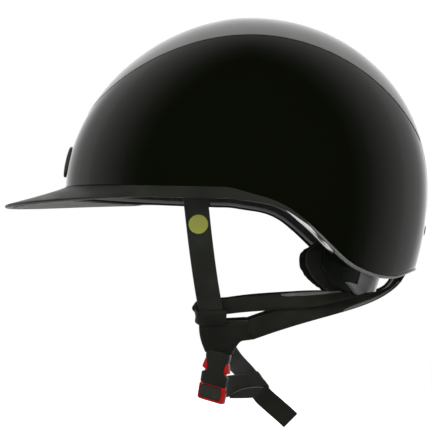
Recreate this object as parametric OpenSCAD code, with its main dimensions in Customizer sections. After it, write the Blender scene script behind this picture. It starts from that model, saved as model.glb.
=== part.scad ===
// Riding helmet: glossy shell with a satin top panel, peak and rim trim, foam liner,
// slip layer, comfort pads, nape cradle and a harness closed by a side-release buckle.
// The front looks towards -X and the wearer's left side is -Y. Millimetres.

/* [Shell] */
// Half-length of the shell in front of its widest point
front_half = 138; // [128:1:148]
// Half-length of the shell behind its widest point
rear_half = 133; // [123:1:143]
// Half-width of the shell
side_half = 108; // [100:1:116]
// Height of the crown above the widest level
crown_height = 128; // [118:1:138]
// Distance of the widest point behind the centre of the head opening
waist_x = 5; // [0:1:10]
// Height of the widest level above the head opening
waist_z = 8; // [4:1:12]
// Depth at which the sides would meet if the shell went on down
tuck_depth = 175; // [150:5:220]
// Wall of the shell
shell_wall = 3; // [2.5:0.1:4]

/* [Shell edge] */
// Height of the shell edge at the front centre line
edge_front_z = 9.4; // [5:0.2:12]
// Fall of the edge for each millimetre towards the rear
edge_slope = 0.03; // [0:0.005:0.05]
// Extra depth of the shell behind the ear
ear_drop = 58.6; // [40:0.2:66]
// Where the ear arc begins, along X
ear_start_x = -16; // [-30:1:0]
// Where the ear arc ends, along X
ear_end_x = 104; // [90:1:115]
// Rise of the edge again at the very back
nape_rise = 7; // [0:0.5:12]

/* [Top panel] */
// Reach of the panel in front of the widest point
panel_front = 124; // [105:1:130]
// Reach of the panel's round part behind the widest point
panel_rear = 130; // [110:1:131]
// Half-width of the panel
panel_half = 62; // [45:1:75]
// Half-width of the tail down the back
tail_half = 19; // [12:0.5:26]
// Height where the tail ends
tail_end_z = -10; // [-25:1:0]
// Wall of the panel
panel_wall = 0.9; // [0.6:0.1:1.2]
// Depth of the recess that the panel lies in
recess = 1.2; // [1.2:0.1:1.5]
// Gap between the panel's edge and the recess
seam_gap = 0.5; // [0.3:0.1:1]
// Drop of the panel's outermost ring, which eases its edge
panel_ease = 0.2; // [0.1:0.05:0.4]

/* [Front plate and rear plug] */
// Width of the bare plate on the front
badge_w = 22; // [14:1:30]
// Height of that plate
badge_h = 23; // [14:1:28]
// Height of its middle above the shell edge
badge_lift = 19; // [16:1:30]
// How far the plate stands out
badge_t = 2; // [1:0.1:3]
// Width of the oval plug at the back
plug_oval_w = 12; // [8:0.5:16]
// Height of that plug
plug_oval_h = 7.6; // [5:0.2:10]
// Distance of its middle below the panel's tail
plug_oval_drop = 13; // [8:1:18]

/* [Peak and trim] */
// How far the peak reaches in front of the shell
peak_reach = 43; // [25:1:55]
// How far the peak's edge droops below the trim
peak_droop = 5.2; // [2:0.5:12]
// Angle from the centre line to where the peak runs out
peak_span = 53; // [40:1:65]
// Thickness of the peak's rounded edge
peak_edge = 2.6; // [2:0.2:5]
// Height of the trim band at the front and sides
band_height = 8.4; // [6:0.2:11]
// Height of the lip at the back
lip_height = 2.4; // [1.5:0.1:4]
// Angle from the rear centre line to the joint of band and lip
lip_span = 58; // [50:1:66]
// Thickness of the cloth lining under the peak
lining_wall = 0.8; // [0.6:0.1:2]

/* [Liner and pads] */
// Thickness of the foam liner
foam_wall = 21; // [16:1:24]
// Gap in which the slip layer moves
slip_gap = 2.6; // [2.2:0.1:3.5]
// Wall of the slip layer
slip_wall = 0.9; // [0.6:0.1:1.4]
// Thickness of a comfort pad at its crown
pad_thick = 7; // [4:0.5:9]
// Diameter of a rubber slip stop
stop_d = 12; // [8:1:16]
// Height of the stops above the widest level
stop_lift = 62; // [45:1:75]
// Height kept between the trim's lower edge and the foam
foam_lift = 2.2; // [1.8:0.1:4]
// Height kept between the widest level and the slip layer's lowest points
slip_lift = 9; // [6:0.5:14]

/* [Nape cradle] */
// Gap between the foam liner and the cradle
cradle_gap = 2.7; // [2.2:0.1:4]
// Wall of the cradle
cradle_wall = 2; // [1.5:0.1:3]
// Thickness of the nape pad at its crown
nape_thick = 9; // [5:0.5:11]
// How far the pad reaches past the cradle's ends, in degrees
pad_past = 4; // [2:1:8]
// How far the pad reaches below the cradle
pad_below = 2; // [1:1:6]
// Angle from the rear centre line to each end of the cradle
cradle_span = 52; // [48:1:56]
// Lowest level of the cradle
cradle_low_z = -66; // [-72:1:-62]
// Highest level of the cradle
cradle_top_z = -24; // [-30:1:-20]
// How much higher the lower edge lies at the cradle's ends
cradle_rise = 23; // [15:1:26]
// How much lower the upper edge lies at the cradle's ends
cradle_dip = 13; // [8:1:15]
// Diameter of the ball studs that the cradle tilts on
stud_d = 3.2; // [2.8:0.2:4]
// Height of the ball studs
stud_z = -35; // [-40:1:-32]
// Angle from the rear centre line to each ball stud
stud_az = 44; // [38:1:48]
// Length of a stiff tab along the cradle
tab_l = 26; // [18:1:30]
// Height of a tab
tab_h = 16; // [12:1:18]
// Thickness of a tab
tab_t = 1.6; // [1:0.1:2]
// Angle from the rear centre line to the middle of a tab
tab_az = 25; // [22:1:30]

/* [Harness] */
// Width of the front straps
front_strap_w = 17.5; // [14:0.5:20]
// Width of the rear straps
rear_strap_w = 16.5; // [12:0.5:20]
// Width of the nape straps
nape_strap_w = 11.5; // [8:0.5:14]
// Width of the chin webbing
web_w = 15.5; // [12:0.5:18]
// Thickness of a covered strap
strap_t = 2.4; // [1.6:0.2:3]
// Thickness of plain webbing
web_t = 1.6; // [1.2:0.1:2]
// Thickness of the yoke patches
yoke_t = 3.4; // [2.8:0.2:5]
// Thickness of the slotted plates that the straps hang from
anchor_t = 1.2; // [0.8:0.1:1.6]
// Diameter of the disc on the left front strap
disc_d = 14; // [8:1:16]
// Thickness of that disc
disc_t = 1; // [0.6:0.1:2]

/* [Buckle] */
// Where the socket's mouth hangs, along X
buckle_x = -21.8; // [-26:0.2:-18]
// Height of the socket's mouth
buckle_z = -135.1; // [-140:0.5:-130]
// How far inside the shell's widest side the buckle hangs
buckle_inset = 56; // [52:1:60]
// Width of the buckle
buckle_w = 20; // [19:0.5:24]
// Thickness of the buckle
buckle_t = 8; // [7:0.5:10]
// Length of the socket half
socket_l = 24; // [24:0.5:30]
// Length of the plug's frame below the socket
plug_l = 12; // [10:0.5:16]
// Travel of the plug out of the socket
plug_travel = 16; // [12:1:18]
// Tilt of the buckle in side view, in degrees
buckle_tilt = 9.6; // [0:0.2:15]
// Turn of the buckle about its own axis, which shows its rear side, in degrees
buckle_turn = 16; // [0:1:20]
// Depth of the waist on each side of the socket, where the pads stand open
waist_depth = 2.2; // [1.6:0.1:2.6]

/* [Chin] */
// Where the keeper sits under the chin, along X
keeper_x = 11; // [8:0.5:14]
// Height of the keeper
keeper_z = -139; // [-143:0.5:-136]
// Length of the keeper along the webbing
keeper_l = 11; // [8:0.5:14]
// Wall of the keeper
keeper_wall = 1.4; // [1:0.1:2]

/* [Hidden] */

// Exponents of the shell's superellipse outlines
plan_power = 2.1;
front_power = 1.87;
rear_power = 2.05;
side_power = 2.2;
tuck_power = 1.92;
panel_power = 2.6;
// Clearance between neighbouring pieces
gap = 0.3;
// Offsets of each layer inward from the shell's skin
foam_out = shell_wall + gap;
foam_in = foam_out + foam_wall;
slip_out = foam_in + slip_gap;
slip_in = slip_out + slip_wall;
// Pads stand off the slip layer by their hook-and-loop backing
pad_out = slip_in + 0.7;
cradle_out = foam_in + cradle_gap;
cradle_in = cradle_out + cradle_wall;
// The nape pad clears the ball studs' heads
nape_out = (cradle_out + cradle_in + stud_d) / 2 + gap;

function mix(a, b, f) = a + (b - a) * f;
function clamp01(u) = max(0, min(1, u));
// Smooth step from 0 at a to 1 at b
function step_up(x, a, b) = let (u = clamp01((x - a) / (b - a))) u * u * (3 - 2 * u);
function unit(v) = v / norm(v);

// Radius of the plan outline at azimuth az, drawn in by d on each half-axis
function plan_r(az, d) =
    let (a = (cos(az) < 0 ? front_half : rear_half) - d)
    pow(pow(abs(cos(az) / a), plan_power) + pow(abs(sin(az) / (side_half - d)), plan_power),
        -1 / plan_power);
function arch_power(az) =
    side_power + ((cos(az) < 0 ? front_power : rear_power) - side_power) * pow(cos(az), 2);

// Point of the skin at azimuth az and elevation t, drawn in by d.
// Below the widest level t is negative and the sides tuck in.
function skin(az, t, d) =
    let (q = t < 0 ? tuck_power : arch_power(az),
         r = plan_r(az, d) * pow(abs(cos(t)), 2 / q),
         h = t < 0 ? tuck_depth : crown_height - d)
    [waist_x + r * cos(az), r * sin(az), waist_z + sign(t) * h * pow(abs(sin(t)), 2 / q)];
// Elevation at which the skin drawn in by d has height z
function level_t(az, z, d) = z < waist_z
    ? -asin(pow((waist_z - z) / tuck_depth, tuck_power / 2))
    : asin(pow((z - waist_z) / (crown_height - d), arch_power(az) / 2));
function skin_at(az, z, d) = skin(az, level_t(az, z, d), d);

// Height of the shell's lower edge at x
function edge_z(x) =
    edge_front_z - edge_slope * (x - waist_x + front_half)
    - ear_drop * step_up(x, ear_start_x, ear_end_x)
    + nape_rise * step_up(x, ear_end_x + 4, ear_end_x + 30);
// Height of the trim under that edge, from the band to the rear lip
function trim_h(x) = mix(band_height, lip_height, step_up(x, -20, 72));
// Height of the edge of a layer drawn in by d, at azimuth az
function edge_at(az, d) = let (z = edge_z(waist_x + plan_r(az, d) * cos(az)))
    edge_z(skin_at(az, z, d)[0]);
// Elevation of that edge, raised by lift above the trim's lower edge
function foot_t(az, d, lift) =
    let (x = waist_x + plan_r(az, d) * cos(az) * 0.97, z = edge_at(az, d) - trim_h(x) + lift)
    level_t(az, z, d);
function edge_t(az, d) = level_t(az, edge_at(az, d), d);

// Azimuth of the tail's edge
tail_az = tail_half / rear_half * 180 / PI;
// Elevation of the panel's outline: half-ellipse in front, fuller half behind, and the tail
function panel_t(az, inset) =
    let (back = cos(az) > 0, reach = (back ? panel_rear : panel_front) - inset,
         n = back ? panel_power : 2, w = panel_half - inset,
         rho = pow(pow(abs(cos(az) / reach), n) + pow(abs(sin(az) / w), n), -1 / n),
         leaf = acos(min(1, pow(rho / plan_r(az, 0), arch_power(az) / 2))),
         off = back ? asin(abs(sin(az))) : 90,
         low = level_t(0, tail_end_z + inset, 0))
    leaf - (leaf - low) * (1 - step_up(off, (tail_az - inset / 3) * 0.8, (tail_az - inset / 3) * 1.25));

// Azimuths round a layer, a little closer together at the front and back centre lines
function azimuths(n, crowd) =
    [for (i = [0:n - 1]) let (a = 360 * i / n) a - crowd / 2 * 180 / PI * sin(2 * a)];
// One ring of the skin, at fraction f from elevations lo to elevations hi
function ring(azs, lo, hi, f, d) =
    [for (j = [0:len(azs) - 1]) skin(azs[j], mix(lo[j], hi[j], f), d)];
function rings(azs, lo, hi, fs, d) = [for (f = fs) ring(azs, lo, hi, f, d)];
function same(azs, v) = [for (a = azs) v];

// Closed surface through rings, from one pole to the other. Its triangles are laid
// the same way on both sides of the centre line.
module bowl(loops, top, bottom, flip = false) {
    n = len(loops[0]);
    m = len(loops);
    points = concat([top], [for (r = loops) each r], [bottom]);
    faces = concat(
        [for (j = [0:n - 1]) [0, 1 + (j + 1) % n, 1 + j]],
        [for (i = [0:m - 2], j = [0:n - 1])
            let (a = 1 + i * n + j, b = 1 + i * n + (j + 1) % n)
            each (j < n / 2) != flip
                ? [[a, b, b + n], [a, b + n, a + n]]
                : [[a, b, a + n], [b, b + n, a + n]]],
        [for (j = [0:n - 1]) [1 + (m - 1) * n + j, 1 + (m - 1) * n + (j + 1) % n, 1 + m * n]]);
    polyhedron(points, faces, convexity = 6);
}
// Closed surface through sections, capped flat at both ends
module sweep(sections) {
    n = len(sections[0]);
    m = len(sections);
    points = [for (s = sections) each s];
    faces = concat(
        [for (j = [1:n - 2]) [0, j + 1, j]],
        [for (i = [0:m - 2], j = [0:n - 1])
            let (a = i * n + j, b = i * n + (j + 1) % n) each [[a, b, b + n], [a, b + n, a + n]]],
        [for (j = [1:n - 2]) [(m - 1) * n, (m - 1) * n + j, (m - 1) * n + j + 1]]);
    polyhedron(points, faces, convexity = 6);
}
// Solid between two matching grids of points, front and back
module slab(front, back) {
    sweep([for (i = [0:len(front) - 1])
        concat(front[i], [for (j = [len(back[i]) - 1:-1:0]) back[i][j]])]);
}
// Plate on the skin: a superellipse half_w by half_h round azimuth az and height z
module skin_plate(az, z, half_w, half_h, d_out, d_in, power = 2.5, n = 24) {
    r = plan_r(az, 0);
    function at(s, a, d) =
        let (c = cos(a), v = sin(a), k = pow(pow(abs(c), power) + pow(abs(v), power), -1 / power))
        skin_at(az + s * k * c * half_w / r * 180 / PI, z + s * k * v * half_h, d);
    function loop(s, d) = [for (i = [0:n - 1]) at(s, 360 * i / n, d)];
    bowl([loop(0.5, d_out), loop(0.9, d_out), loop(1, mix(d_out, d_in, 0.3)), loop(1, d_in),
          loop(0.5, d_in)], skin_at(az, z, d_out), skin_at(az, z, d_in));
}
// Point and frame of a cubic curve
function cubic(p, f) = let (g = 1 - f)
    g * g * g * p[0] + 3 * g * g * f * p[1] + 3 * g * f * f * p[2] + f * f * f * p[3];
// Strap of width w and thickness t along points, lying along the width directions
module strap(points, wides, w, t) {
    m = len(points);
    sweep([for (i = [0:m - 1])
        let (along = unit(points[min(i + 1, m - 1)] - points[max(i - 1, 0)]),
             flat = unit(wides[i] - along * (wides[i] * along)),
             n = cross(along, flat))
        [points[i] + flat * w / 2 - n * t / 2, points[i] - flat * w / 2 - n * t / 2,
         points[i] - flat * w / 2 + n * t / 2, points[i] + flat * w / 2 + n * t / 2]]);
}
// Mirror to the wearer's right
module other_side() mirror([0, 1, 0]) children();

// The shell
// Azimuths that the outer layers share: close together across the edge of the tail
tail_end_az = tail_az * 1.7;
body_azs = [for (u = [0:0.05:0.95]) mix(tail_end_az, 180, u) - 8 * sin(360 * u)];
side_azs = concat([0, tail_az * 0.45], [for (k = [0:5]) tail_az * (0.74 + 0.11 * k)], body_azs);
round_azs = concat(side_azs, [180], [for (i = [len(side_azs) - 1:-1:1]) 360 - side_azs[i]]);
// Steps up from the edge that the shell's inside and the foam share
dome_steps = [0, 0.08, 0.18, 0.29, 0.4, 0.51, 0.62, 0.73, 0.84, 0.94];
inner_edge = [for (a = round_azs) edge_t(a, shell_wall)];
// Levels from the crown down to the tail's end. Where the panel ends sooner they
// close up above its outline, so that no facet spans the corner of the tail.
panel_rows = 10;
close_up = 0.12;
function panel_ring(i, inset, d) =
    [for (a = round_azs) skin(a, max(mix(90, level_t(0, tail_end_z, 0), i / panel_rows),
                                     panel_t(a, inset) + close_up * (panel_rows - i)), d)];
// The same from the outline down to the shell's edge
side_rows = 9;
function side_ring(i) =
    [for (a = round_azs) skin(a, min(mix(62, edge_t(a, 0), i / side_rows),
                                     panel_t(a, 0) - close_up * i), 0)];
module shell() {
    color([0.05, 0.05, 0.05])
    bowl(concat(
            [for (i = [1:panel_rows]) panel_ring(i, 0, recess)],
            [for (i = [0:side_rows]) side_ring(i)],
            rings(round_azs, inner_edge, same(round_azs, 90), dome_steps, shell_wall)),
         skin(0, 90, recess), skin(0, 90, shell_wall));
}
module top_panel() {
    color([0.32, 0.32, 0.31])
    bowl(concat(
            [for (i = [1:panel_rows - 1]) panel_ring(i, seam_gap, 0)],
            [panel_ring(panel_rows, seam_gap, panel_ease)],
            [for (i = [panel_rows:-1:1]) panel_ring(i, seam_gap, panel_wall)]),
         skin(0, 90, 0), skin(0, 90, panel_wall));
}
// Bare plate on the front, under the panel's tip
module front_badge() {
    color([0.16, 0.11, 0.09])
    skin_plate(180, edge_front_z + badge_lift, badge_w / 2, badge_h / 2, -badge_t, -0.05, 3);
}
// Small oval plug at the back of the tail
module rear_plug() {
    color([0.1, 0.1, 0.1])
    skin_plate(0, tail_end_z - plug_oval_drop, plug_oval_w / 2, plug_oval_h / 2, -0.8, -0.05, 2);
}

// How much of the peak stands out at azimuth az: 1 at the centre line, 0 past the span
function peak_share(az) = pow(max(0, 1 - pow((180 - abs(az)) / peak_span, 2)), 1.25);
// Upper surface of the peak, s from 0 at the shell to 1 at its edge
function peak_top(az, s) =
    let (x = skin_at(az, edge_at(az, 0), 0)[0], k = peak_share(az),
         top = edge_at(az, 0) - gap, low = top - trim_h(x) + gap - peak_droop * k * k)
    skin_at(az, mix(top, low, pow(s, mix(1, 1.15, k))), -peak_reach * k * s);
// Underside of the peak, s from 0 inside the shell to 1 at its edge, drop below it
function peak_under(az, s, drop) =
    let (x = skin_at(az, edge_at(az, 0), 0)[0], k = peak_share(az),
         foot = edge_at(az, 0) - trim_h(x),
         low = foot - peak_droop * k * k - peak_edge * k)
    skin_at(az, mix(foot, low, s) - drop, mix(shell_wall, 0.5 - peak_reach * k, s));
function trim_section(az) =
    let (k = peak_share(az), tip = peak_top(az, 1))
    [skin_at(az, edge_at(az, shell_wall) - gap, shell_wall), peak_top(az, 0), peak_top(az, 0.3),
     peak_top(az, 0.65), peak_top(az, 0.92), peak_top(az, 1),
     skin_at(az, tip[2] - peak_edge * k * 0.5, -0.4 - (peak_reach + 0.6) * k),
     peak_under(az, 1, 0), peak_under(az, 0.7, 0), peak_under(az, 0.35, 0), peak_under(az, 0, 0)];
// The trim is laid on the shell's own azimuths, so that their edges run together
trim_azs = concat([360 - lip_span],
                  [for (i = [len(round_azs) - 1:-1:0])
                      if (abs(round_azs[i] - 180) < 178 - lip_span) round_azs[i]], [lip_span]);
module peak() {
    color([0.13, 0.13, 0.12])
    sweep([for (a = trim_azs) trim_section(a > 180 ? a - 360 : a)]);
}
// Cloth stuck under the peak
module peak_lining() {
    reach = peak_span * 0.86;
    across = [0.05, 0.35, 0.65, 0.9];
    lined = [for (a = trim_azs) if (abs(a - 180) < reach) a > 180 ? a - 360 : a];
    color([0.3, 0.3, 0.29])
    slab([for (a = lined) [for (s = across) peak_under(a, s, gap)]],
         [for (a = lined) [for (s = across) peak_under(a, s, gap + lining_wall)]]);
}
// Lip that closes the shell's edge round the back
module rear_lip() {
    turned = [for (a = round_azs) a > 180 ? a - 360 : a];
    azs = concat([-lip_span + 0.3], [for (a = turned) if (a < 0 && a > 2 - lip_span) a],
                 [for (a = turned) if (a >= 0 && a < lip_span - 2) a], [lip_span - 0.3]);
    color([0.08, 0.08, 0.08])
    sweep([for (az = azs) let (z = edge_at(az, 0) - gap, low = z + gap - lip_height)
        [skin_at(az, edge_at(az, shell_wall) - gap, shell_wall), skin_at(az, low, shell_wall),
         skin_at(az, low, 1), skin_at(az, mix(z, low, 0.6), 0), skin_at(az, z, 0)]]);
}

module foam_liner() {
    azs = round_azs;
    crown = same(azs, 90);
    top_down = [for (i = [len(dome_steps) - 1:-1:1]) dome_steps[i]];
    outer = [for (a = azs) foot_t(a, foam_out, foam_lift)];
    inner = [for (a = azs) foot_t(a, foam_in, foam_lift + 1)];
    color([0.2, 0.2, 0.21])
    bowl(concat(
            rings(azs, inner_edge, crown, top_down, foam_out),
            rings(azs, outer, outer, [0], foam_out),
            rings(azs, outer, inner, [0.5], mix(foam_out, foam_in, 0.85)),
            rings(azs, inner, crown, concat([0.03], [for (i = [1:9]) i / 9.6]), foam_in)),
         skin(0, 90, foam_out), skin(0, 90, foam_in), flip = true);
}
// Rubber stops that hold the slip layer off the foam
module slip_stops() {
    color([0.75, 0.75, 0.4])
    for (az = [0, 90, 180, 270])
        let (z = waist_z + stop_lift)
        skin_plate(az, z, stop_d / 2, stop_d / 2, foam_in + 0.5, foam_in + 1.8, 2, 12);
}
module slip_layer() {
    azs = azimuths(48, 0.2);
    crown = same(azs, 90);
    lobes = [for (a = azs) max(level_t(a, waist_z + slip_lift, slip_out), 2) + 4 * (1 - cos(6 * a))];
    color([0.8, 0.8, 0.3])
    bowl(concat(
            rings(azs, crown, lobes, [for (i = [1:9]) i / 9], slip_out),
            rings(azs, lobes, crown, [for (i = [0:8]) i / 9], slip_in)),
         skin(0, 90, slip_out), skin(0, 90, slip_in));
}

// Cushion on the slip layer between azimuths a0 and a1 and elevations t0 and t1.
// Its face is crowned, drawn in at the sides, and sewn into channels.
module comfort_pad(a0, a1, t0, t1, channels, nu = 20, nv = 8) {
    function crown(u, v) = pow(1 - pow(abs(2 * u - 1), 5), 0.5) * pow(1 - pow(abs(2 * v - 1), 3), 0.5)
        * (1 - 0.4 * pow(abs(cos(180 * channels * u)), 14));
    function tall(u) = 0.5 * pow(1 - pow(abs(2 * u - 1), 6), 0.5) + 0.02;
    function at(u, v, d) = skin(mix(a0, a1, u), mix(t0, t1, 0.5 + (v - 0.5) * 2 * tall(u)), d);
    color([0.12, 0.12, 0.12])
    slab([for (i = [0:nu]) [for (j = [0:nv]) at(i / nu, j / nv, pad_out)]],
         [for (i = [0:nu]) [for (j = [0:nv]) at(i / nu, j / nv, pad_out + 0.8
            + (pad_thick - 0.8) * crown(i / nu, j / nv))]]);
}
module brow_pad() comfort_pad(180 - 60, 180 + 60, 5, 24, 6, 26);
module side_pad_left() comfort_pad(-112, -58, 5, 28, 3);
module side_pad_right() other_side() side_pad_left();
module rear_pad() comfort_pad(-50, 50, 6, 26, 4, 22);
module crown_pad() {
    azs = azimuths(36, 0);
    function rim(f, d) = [for (a = azs) skin(a, 90 - 33 * f * (0.86 + 0.14 * cos(4 * a)), d)];
    full = pad_out + pad_thick;
    color([0.12, 0.12, 0.12])
    bowl([rim(0.3, pad_out), rim(0.7, pad_out), rim(1, pad_out),
          rim(1, pad_out + 1.2), rim(0.93, mix(pad_out, full, 0.6)), rim(0.8, full - 0.7),
          rim(0.6, full), rim(0.5, full - 2), rim(0.4, full), rim(0.2, full)],
         skin(0, 90, pad_out), skin(0, 90, full - 1));
}

// Height of the cradle's lower and upper edges, u from -1 to 1 across it
function cradle_low(u) = cradle_low_z + cradle_rise * pow(abs(u), 6);
function cradle_top(u) = cradle_top_z - cradle_dip * pow(abs(u), 6);
function cradle_at(u, v, d) = skin_at(cradle_span * u, mix(cradle_low(u), cradle_top(u), v), d);
stud_mid = (cradle_out + cradle_in) / 2;
// Direction square to the skin at the left stud, pointing inwards
stud_dir = unit(skin_at(-stud_az, stud_z, stud_mid + 1) - skin_at(-stud_az, stud_z, stud_mid));
stud_turn = [0, acos(stud_dir[2]), atan2(stud_dir[1], stud_dir[0])];

// Ball studs fixed to the foam, one each side
module cradle_studs() {
    color([0.2, 0.2, 0.2])
    for (s = [0, 1]) mirror([0, s, 0])
        translate(skin_at(-stud_az, stud_z, stud_mid)) rotate(stud_turn) {
            reach = stud_mid - foam_in - gap - 0.25;
            sphere(d = stud_d, $fn = 40);
            translate([0, 0, -reach]) cylinder(d = stud_d * 0.55, h = reach, $fn = 32);
            translate([0, 0, -reach]) cylinder(d = stud_d * 2, h = 0.8, $fn = 40);
        }
}
module nape_cradle() {
    nu = 26;
    nv = 5;
    color([0.07, 0.07, 0.07])
    difference() {
        slab([for (i = [0:nu]) [for (j = [0:nv]) cradle_at(2 * i / nu - 1, j / nv, cradle_out)]],
             [for (i = [0:nu]) [for (j = [0:nv]) cradle_at(2 * i / nu - 1, j / nv, cradle_in)]]);
        for (s = [0, 1]) mirror([0, s, 0])
            translate(skin_at(-stud_az, stud_z, stud_mid)) rotate(stud_turn)
                cylinder(d = stud_d + 0.12, h = 12, center = true, $fn = 40);
    }
}
// The pad wraps a little past the cradle's ends and lower edge
function nape_at(u, v, d) =
    let (low = cradle_low(u) - pad_below, top = cradle_top(u) - 1)
    skin_at((cradle_span + pad_past) * u, mix(low, top, v), d);
module nape_pad() {
    nu = 30;
    nv = 8;
    function crown(u, v) = pow(max(0, 1 - pow(abs(u), 8)), 0.5) * pow(1 - pow(abs(2 * v - 1), 3), 0.5);
    color([0.14, 0.13, 0.12])
    slab([for (i = [0:nu]) [for (j = [0:nv]) nape_at(2 * i / nu - 1, j / nv, nape_out)]],
         [for (i = [0:nu]) [for (j = [0:nv]) let (u = 2 * i / nu - 1, v = j / nv)
            nape_at(u, v, nape_out + 2 + (nape_thick - 2) * crown(u, v))]]);
}
// Stiff plate on the outside of the cradle, under the shell's edge
module cradle_tab_left() {
    color([0.6, 0.6, 0.6])
    skin_plate(-tab_az, cradle_low_z + tab_h / 2 + 1, tab_l / 2, tab_h / 2,
               cradle_out - gap - tab_t, cradle_out - gap, 5, 16);
}
module cradle_tab_right() other_side() cradle_tab_left();

// Harness points on the wearer's left
front_anchor_az = -115;
rear_anchor_az = -14;
strap_in = mix(foam_out, foam_in, 0.72);
rear_in = mix(foam_out, foam_in, 0.3);
// Turn of the skin's outward normal at azimuth az
function facing(az) = atan2(sign(sin(az)) * pow(abs(sin(az) / side_half), plan_power - 1) / side_half,
                            sign(cos(az)) * pow(abs(cos(az) / rear_half), plan_power - 1) / rear_half);
function under_foam(az, d) = skin(az, foot_t(az, d, foam_lift), d);
// A strap's end leans, so that one corner stands this much above its middle
end_lean = 0.95;
strap_hang = anchor_t + 2 * gap + end_lean;
front_anchor = under_foam(front_anchor_az, strap_in) - [0, 0, strap_hang];
rear_anchor = under_foam(rear_anchor_az, rear_in) - [0, 0, strap_hang];
socket_at = [buckle_x, buckle_inset - side_half, buckle_z];
buckle_up = [sin(buckle_tilt), 0, cos(buckle_tilt)];
// Direction out of the buckle's face
buckle_out = [-sin(buckle_turn) * cos(buckle_tilt), -cos(buckle_turn), sin(buckle_turn) * sin(buckle_tilt)];
socket_top = socket_at + buckle_up * socket_l;
// The yoke leans outwards above the buckle
yoke_lean = 16;
yoke_at = socket_top + [0, 0, gap + yoke_t / 2 * sin(yoke_lean)];
function on_yoke(x, up, out = 0) =
    yoke_at + [x, -up * sin(yoke_lean) - out * cos(yoke_lean), up * cos(yoke_lean) - out * sin(yoke_lean)];
yoke_top = on_yoke(-4.5, 21.5 + gap);
yoke_tab = on_yoke(24.5 + gap, 16.5);

// Small slotted plates under the foam that the straps hang from
module strap_anchors() {
    color([0.12, 0.12, 0.12])
    for (s = [0, 1]) mirror([0, s, 0]) {
        anchor_plate(front_anchor, 90 + facing(front_anchor_az), front_strap_w);
        anchor_plate(rear_anchor, 90 + facing(rear_anchor_az), rear_strap_w);
    }
}
module anchor_plate(at, turn, w) {
    translate(at + [0, 0, end_lean + gap]) rotate([0, 0, turn])
        linear_extrude(anchor_t) offset(r = 1, $fn = 24) square([w, strap_t + 1], center = true);
}

// Front strap: bows a little outwards between its anchor and the yoke
front_route = [front_anchor, front_anchor + [3, 3, -28], yoke_top + [-6, -10, 28], yoke_top];
function front_mid(f) = cubic(front_route, f);
module front_strap_left() {
    color([0.16, 0.15, 0.14])
    strap([for (i = [0:14]) front_mid(i / 14)], [for (i = [0:14]) [1, 0, 0.15]],
          front_strap_w, strap_t);
}
module front_strap_right() other_side() front_strap_left();

// Rear strap: leaves the shell flat and turns on edge towards the yoke
rear_route = [rear_anchor, rear_anchor + [-9, -4, -18], yoke_tab + [72, -8, 26], yoke_tab];
function rear_wide(f) = let (a = 90 * (1 - step_up(f, 0.16, 0.96)))
    [-0.33 * sin(a) * (1 - f), sin(a), cos(a)];
module rear_strap_left() {
    color([0.15, 0.14, 0.13])
    strap([for (i = [0:20]) cubic(rear_route, i / 20)], [for (i = [0:20]) rear_wide(i / 20)],
          rear_strap_w, strap_t);
}
module rear_strap_right() other_side() rear_strap_left();

// Nape strap: from the cradle's lower edge forward, then once round the front strap
loop_at = front_mid(0.87) + [0.8, 0, 0];
loop_x = front_strap_w / 2 + 2.75;
loop_y = strap_t + 1.1;
nape_end = cradle_at(-0.7, 0, cradle_out - 2.2) - [0, 0, 6.4];
loop_up = -unit(front_mid(0.9) - front_mid(0.84));
loop_start = loop_at + [loop_x, loop_y, 2];
nape_route = [nape_end, nape_end + [-22, -8, -1], loop_start + [34, -3, 4], loop_start];
function signed_pow(v, p) = sign(v) * pow(abs(v), p);
function loop_round(f) = let (a = mix(90, 318, f))
    loop_at + [loop_x * signed_pow(cos(a), 0.8), loop_y * signed_pow(sin(a), 0.6), 0]
    + loop_up * mix(1.2, -4.5, f);
nape_points = concat([for (i = [0:13]) cubic(nape_route, i / 14)],
                     [for (i = [0:12]) loop_round(i / 12)]);
module nape_strap_left() {
    n = len(nape_points);
    color([0.13, 0.12, 0.11])
    strap(nape_points, [for (i = [0:n - 1]) let (a = 62 * (1 - step_up(i / 14, 0, 0.6)))
            mix([0, sin(a), cos(a)], loop_up, step_up(i / 14, 0.6, 1))],
          nape_strap_w, web_t);
}
module nape_strap_right() other_side() nape_strap_left();

// Leather patch that joins the straps above the buckle
yoke_foot = 8.5;
yoke_slant = yoke_foot * tan(buckle_tilt);
yoke_outline = [[-yoke_foot, yoke_slant], [yoke_foot, -yoke_slant], [14, 5], [18, 11], [26.6, 10.5],
                [22.4, 23], [5, 23.2], [-14, 19.6], [-12.8, 8]];
module yoke_left() {
    color([0.15, 0.14, 0.13])
    translate(yoke_at) rotate([90 + yoke_lean, 0, 0])
        translate([0, 0, -yoke_t / 2]) linear_extrude(yoke_t)
            offset(r = 1, $fn = 24) offset(delta = -1) polygon(yoke_outline);
}
module yoke_right() other_side() yoke_left();

// Thin bare disc on the left front strap
disc_f = 0.2;
disc_dir = unit(cross([1, 0, 0.15], front_mid(disc_f + 0.05) - front_mid(disc_f - 0.05)));
module strap_disc() {
    out = disc_dir[1] < 0 ? disc_dir : -disc_dir;
    color([0.75, 0.75, 0.25])
    translate(front_mid(disc_f) + out * (strap_t / 2 + 0.1))
        rotate([0, acos(out[2]), atan2(out[1], out[0])])
            cylinder(d = disc_d, h = disc_t, $fn = 48);
}

// The buckle stands in its own frame: +Z up its axis, the socket's mouth at z = 0
side_wall = 1.5;
cavity_w = buckle_w - 2 * side_wall;
prong_t = 2.4;
root_r = 1.3;
root_z = 0.2;
prong_l = 18.5;
window_z = 8.6;
window_l = 9;
frame_t = buckle_t - 1.6;
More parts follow.
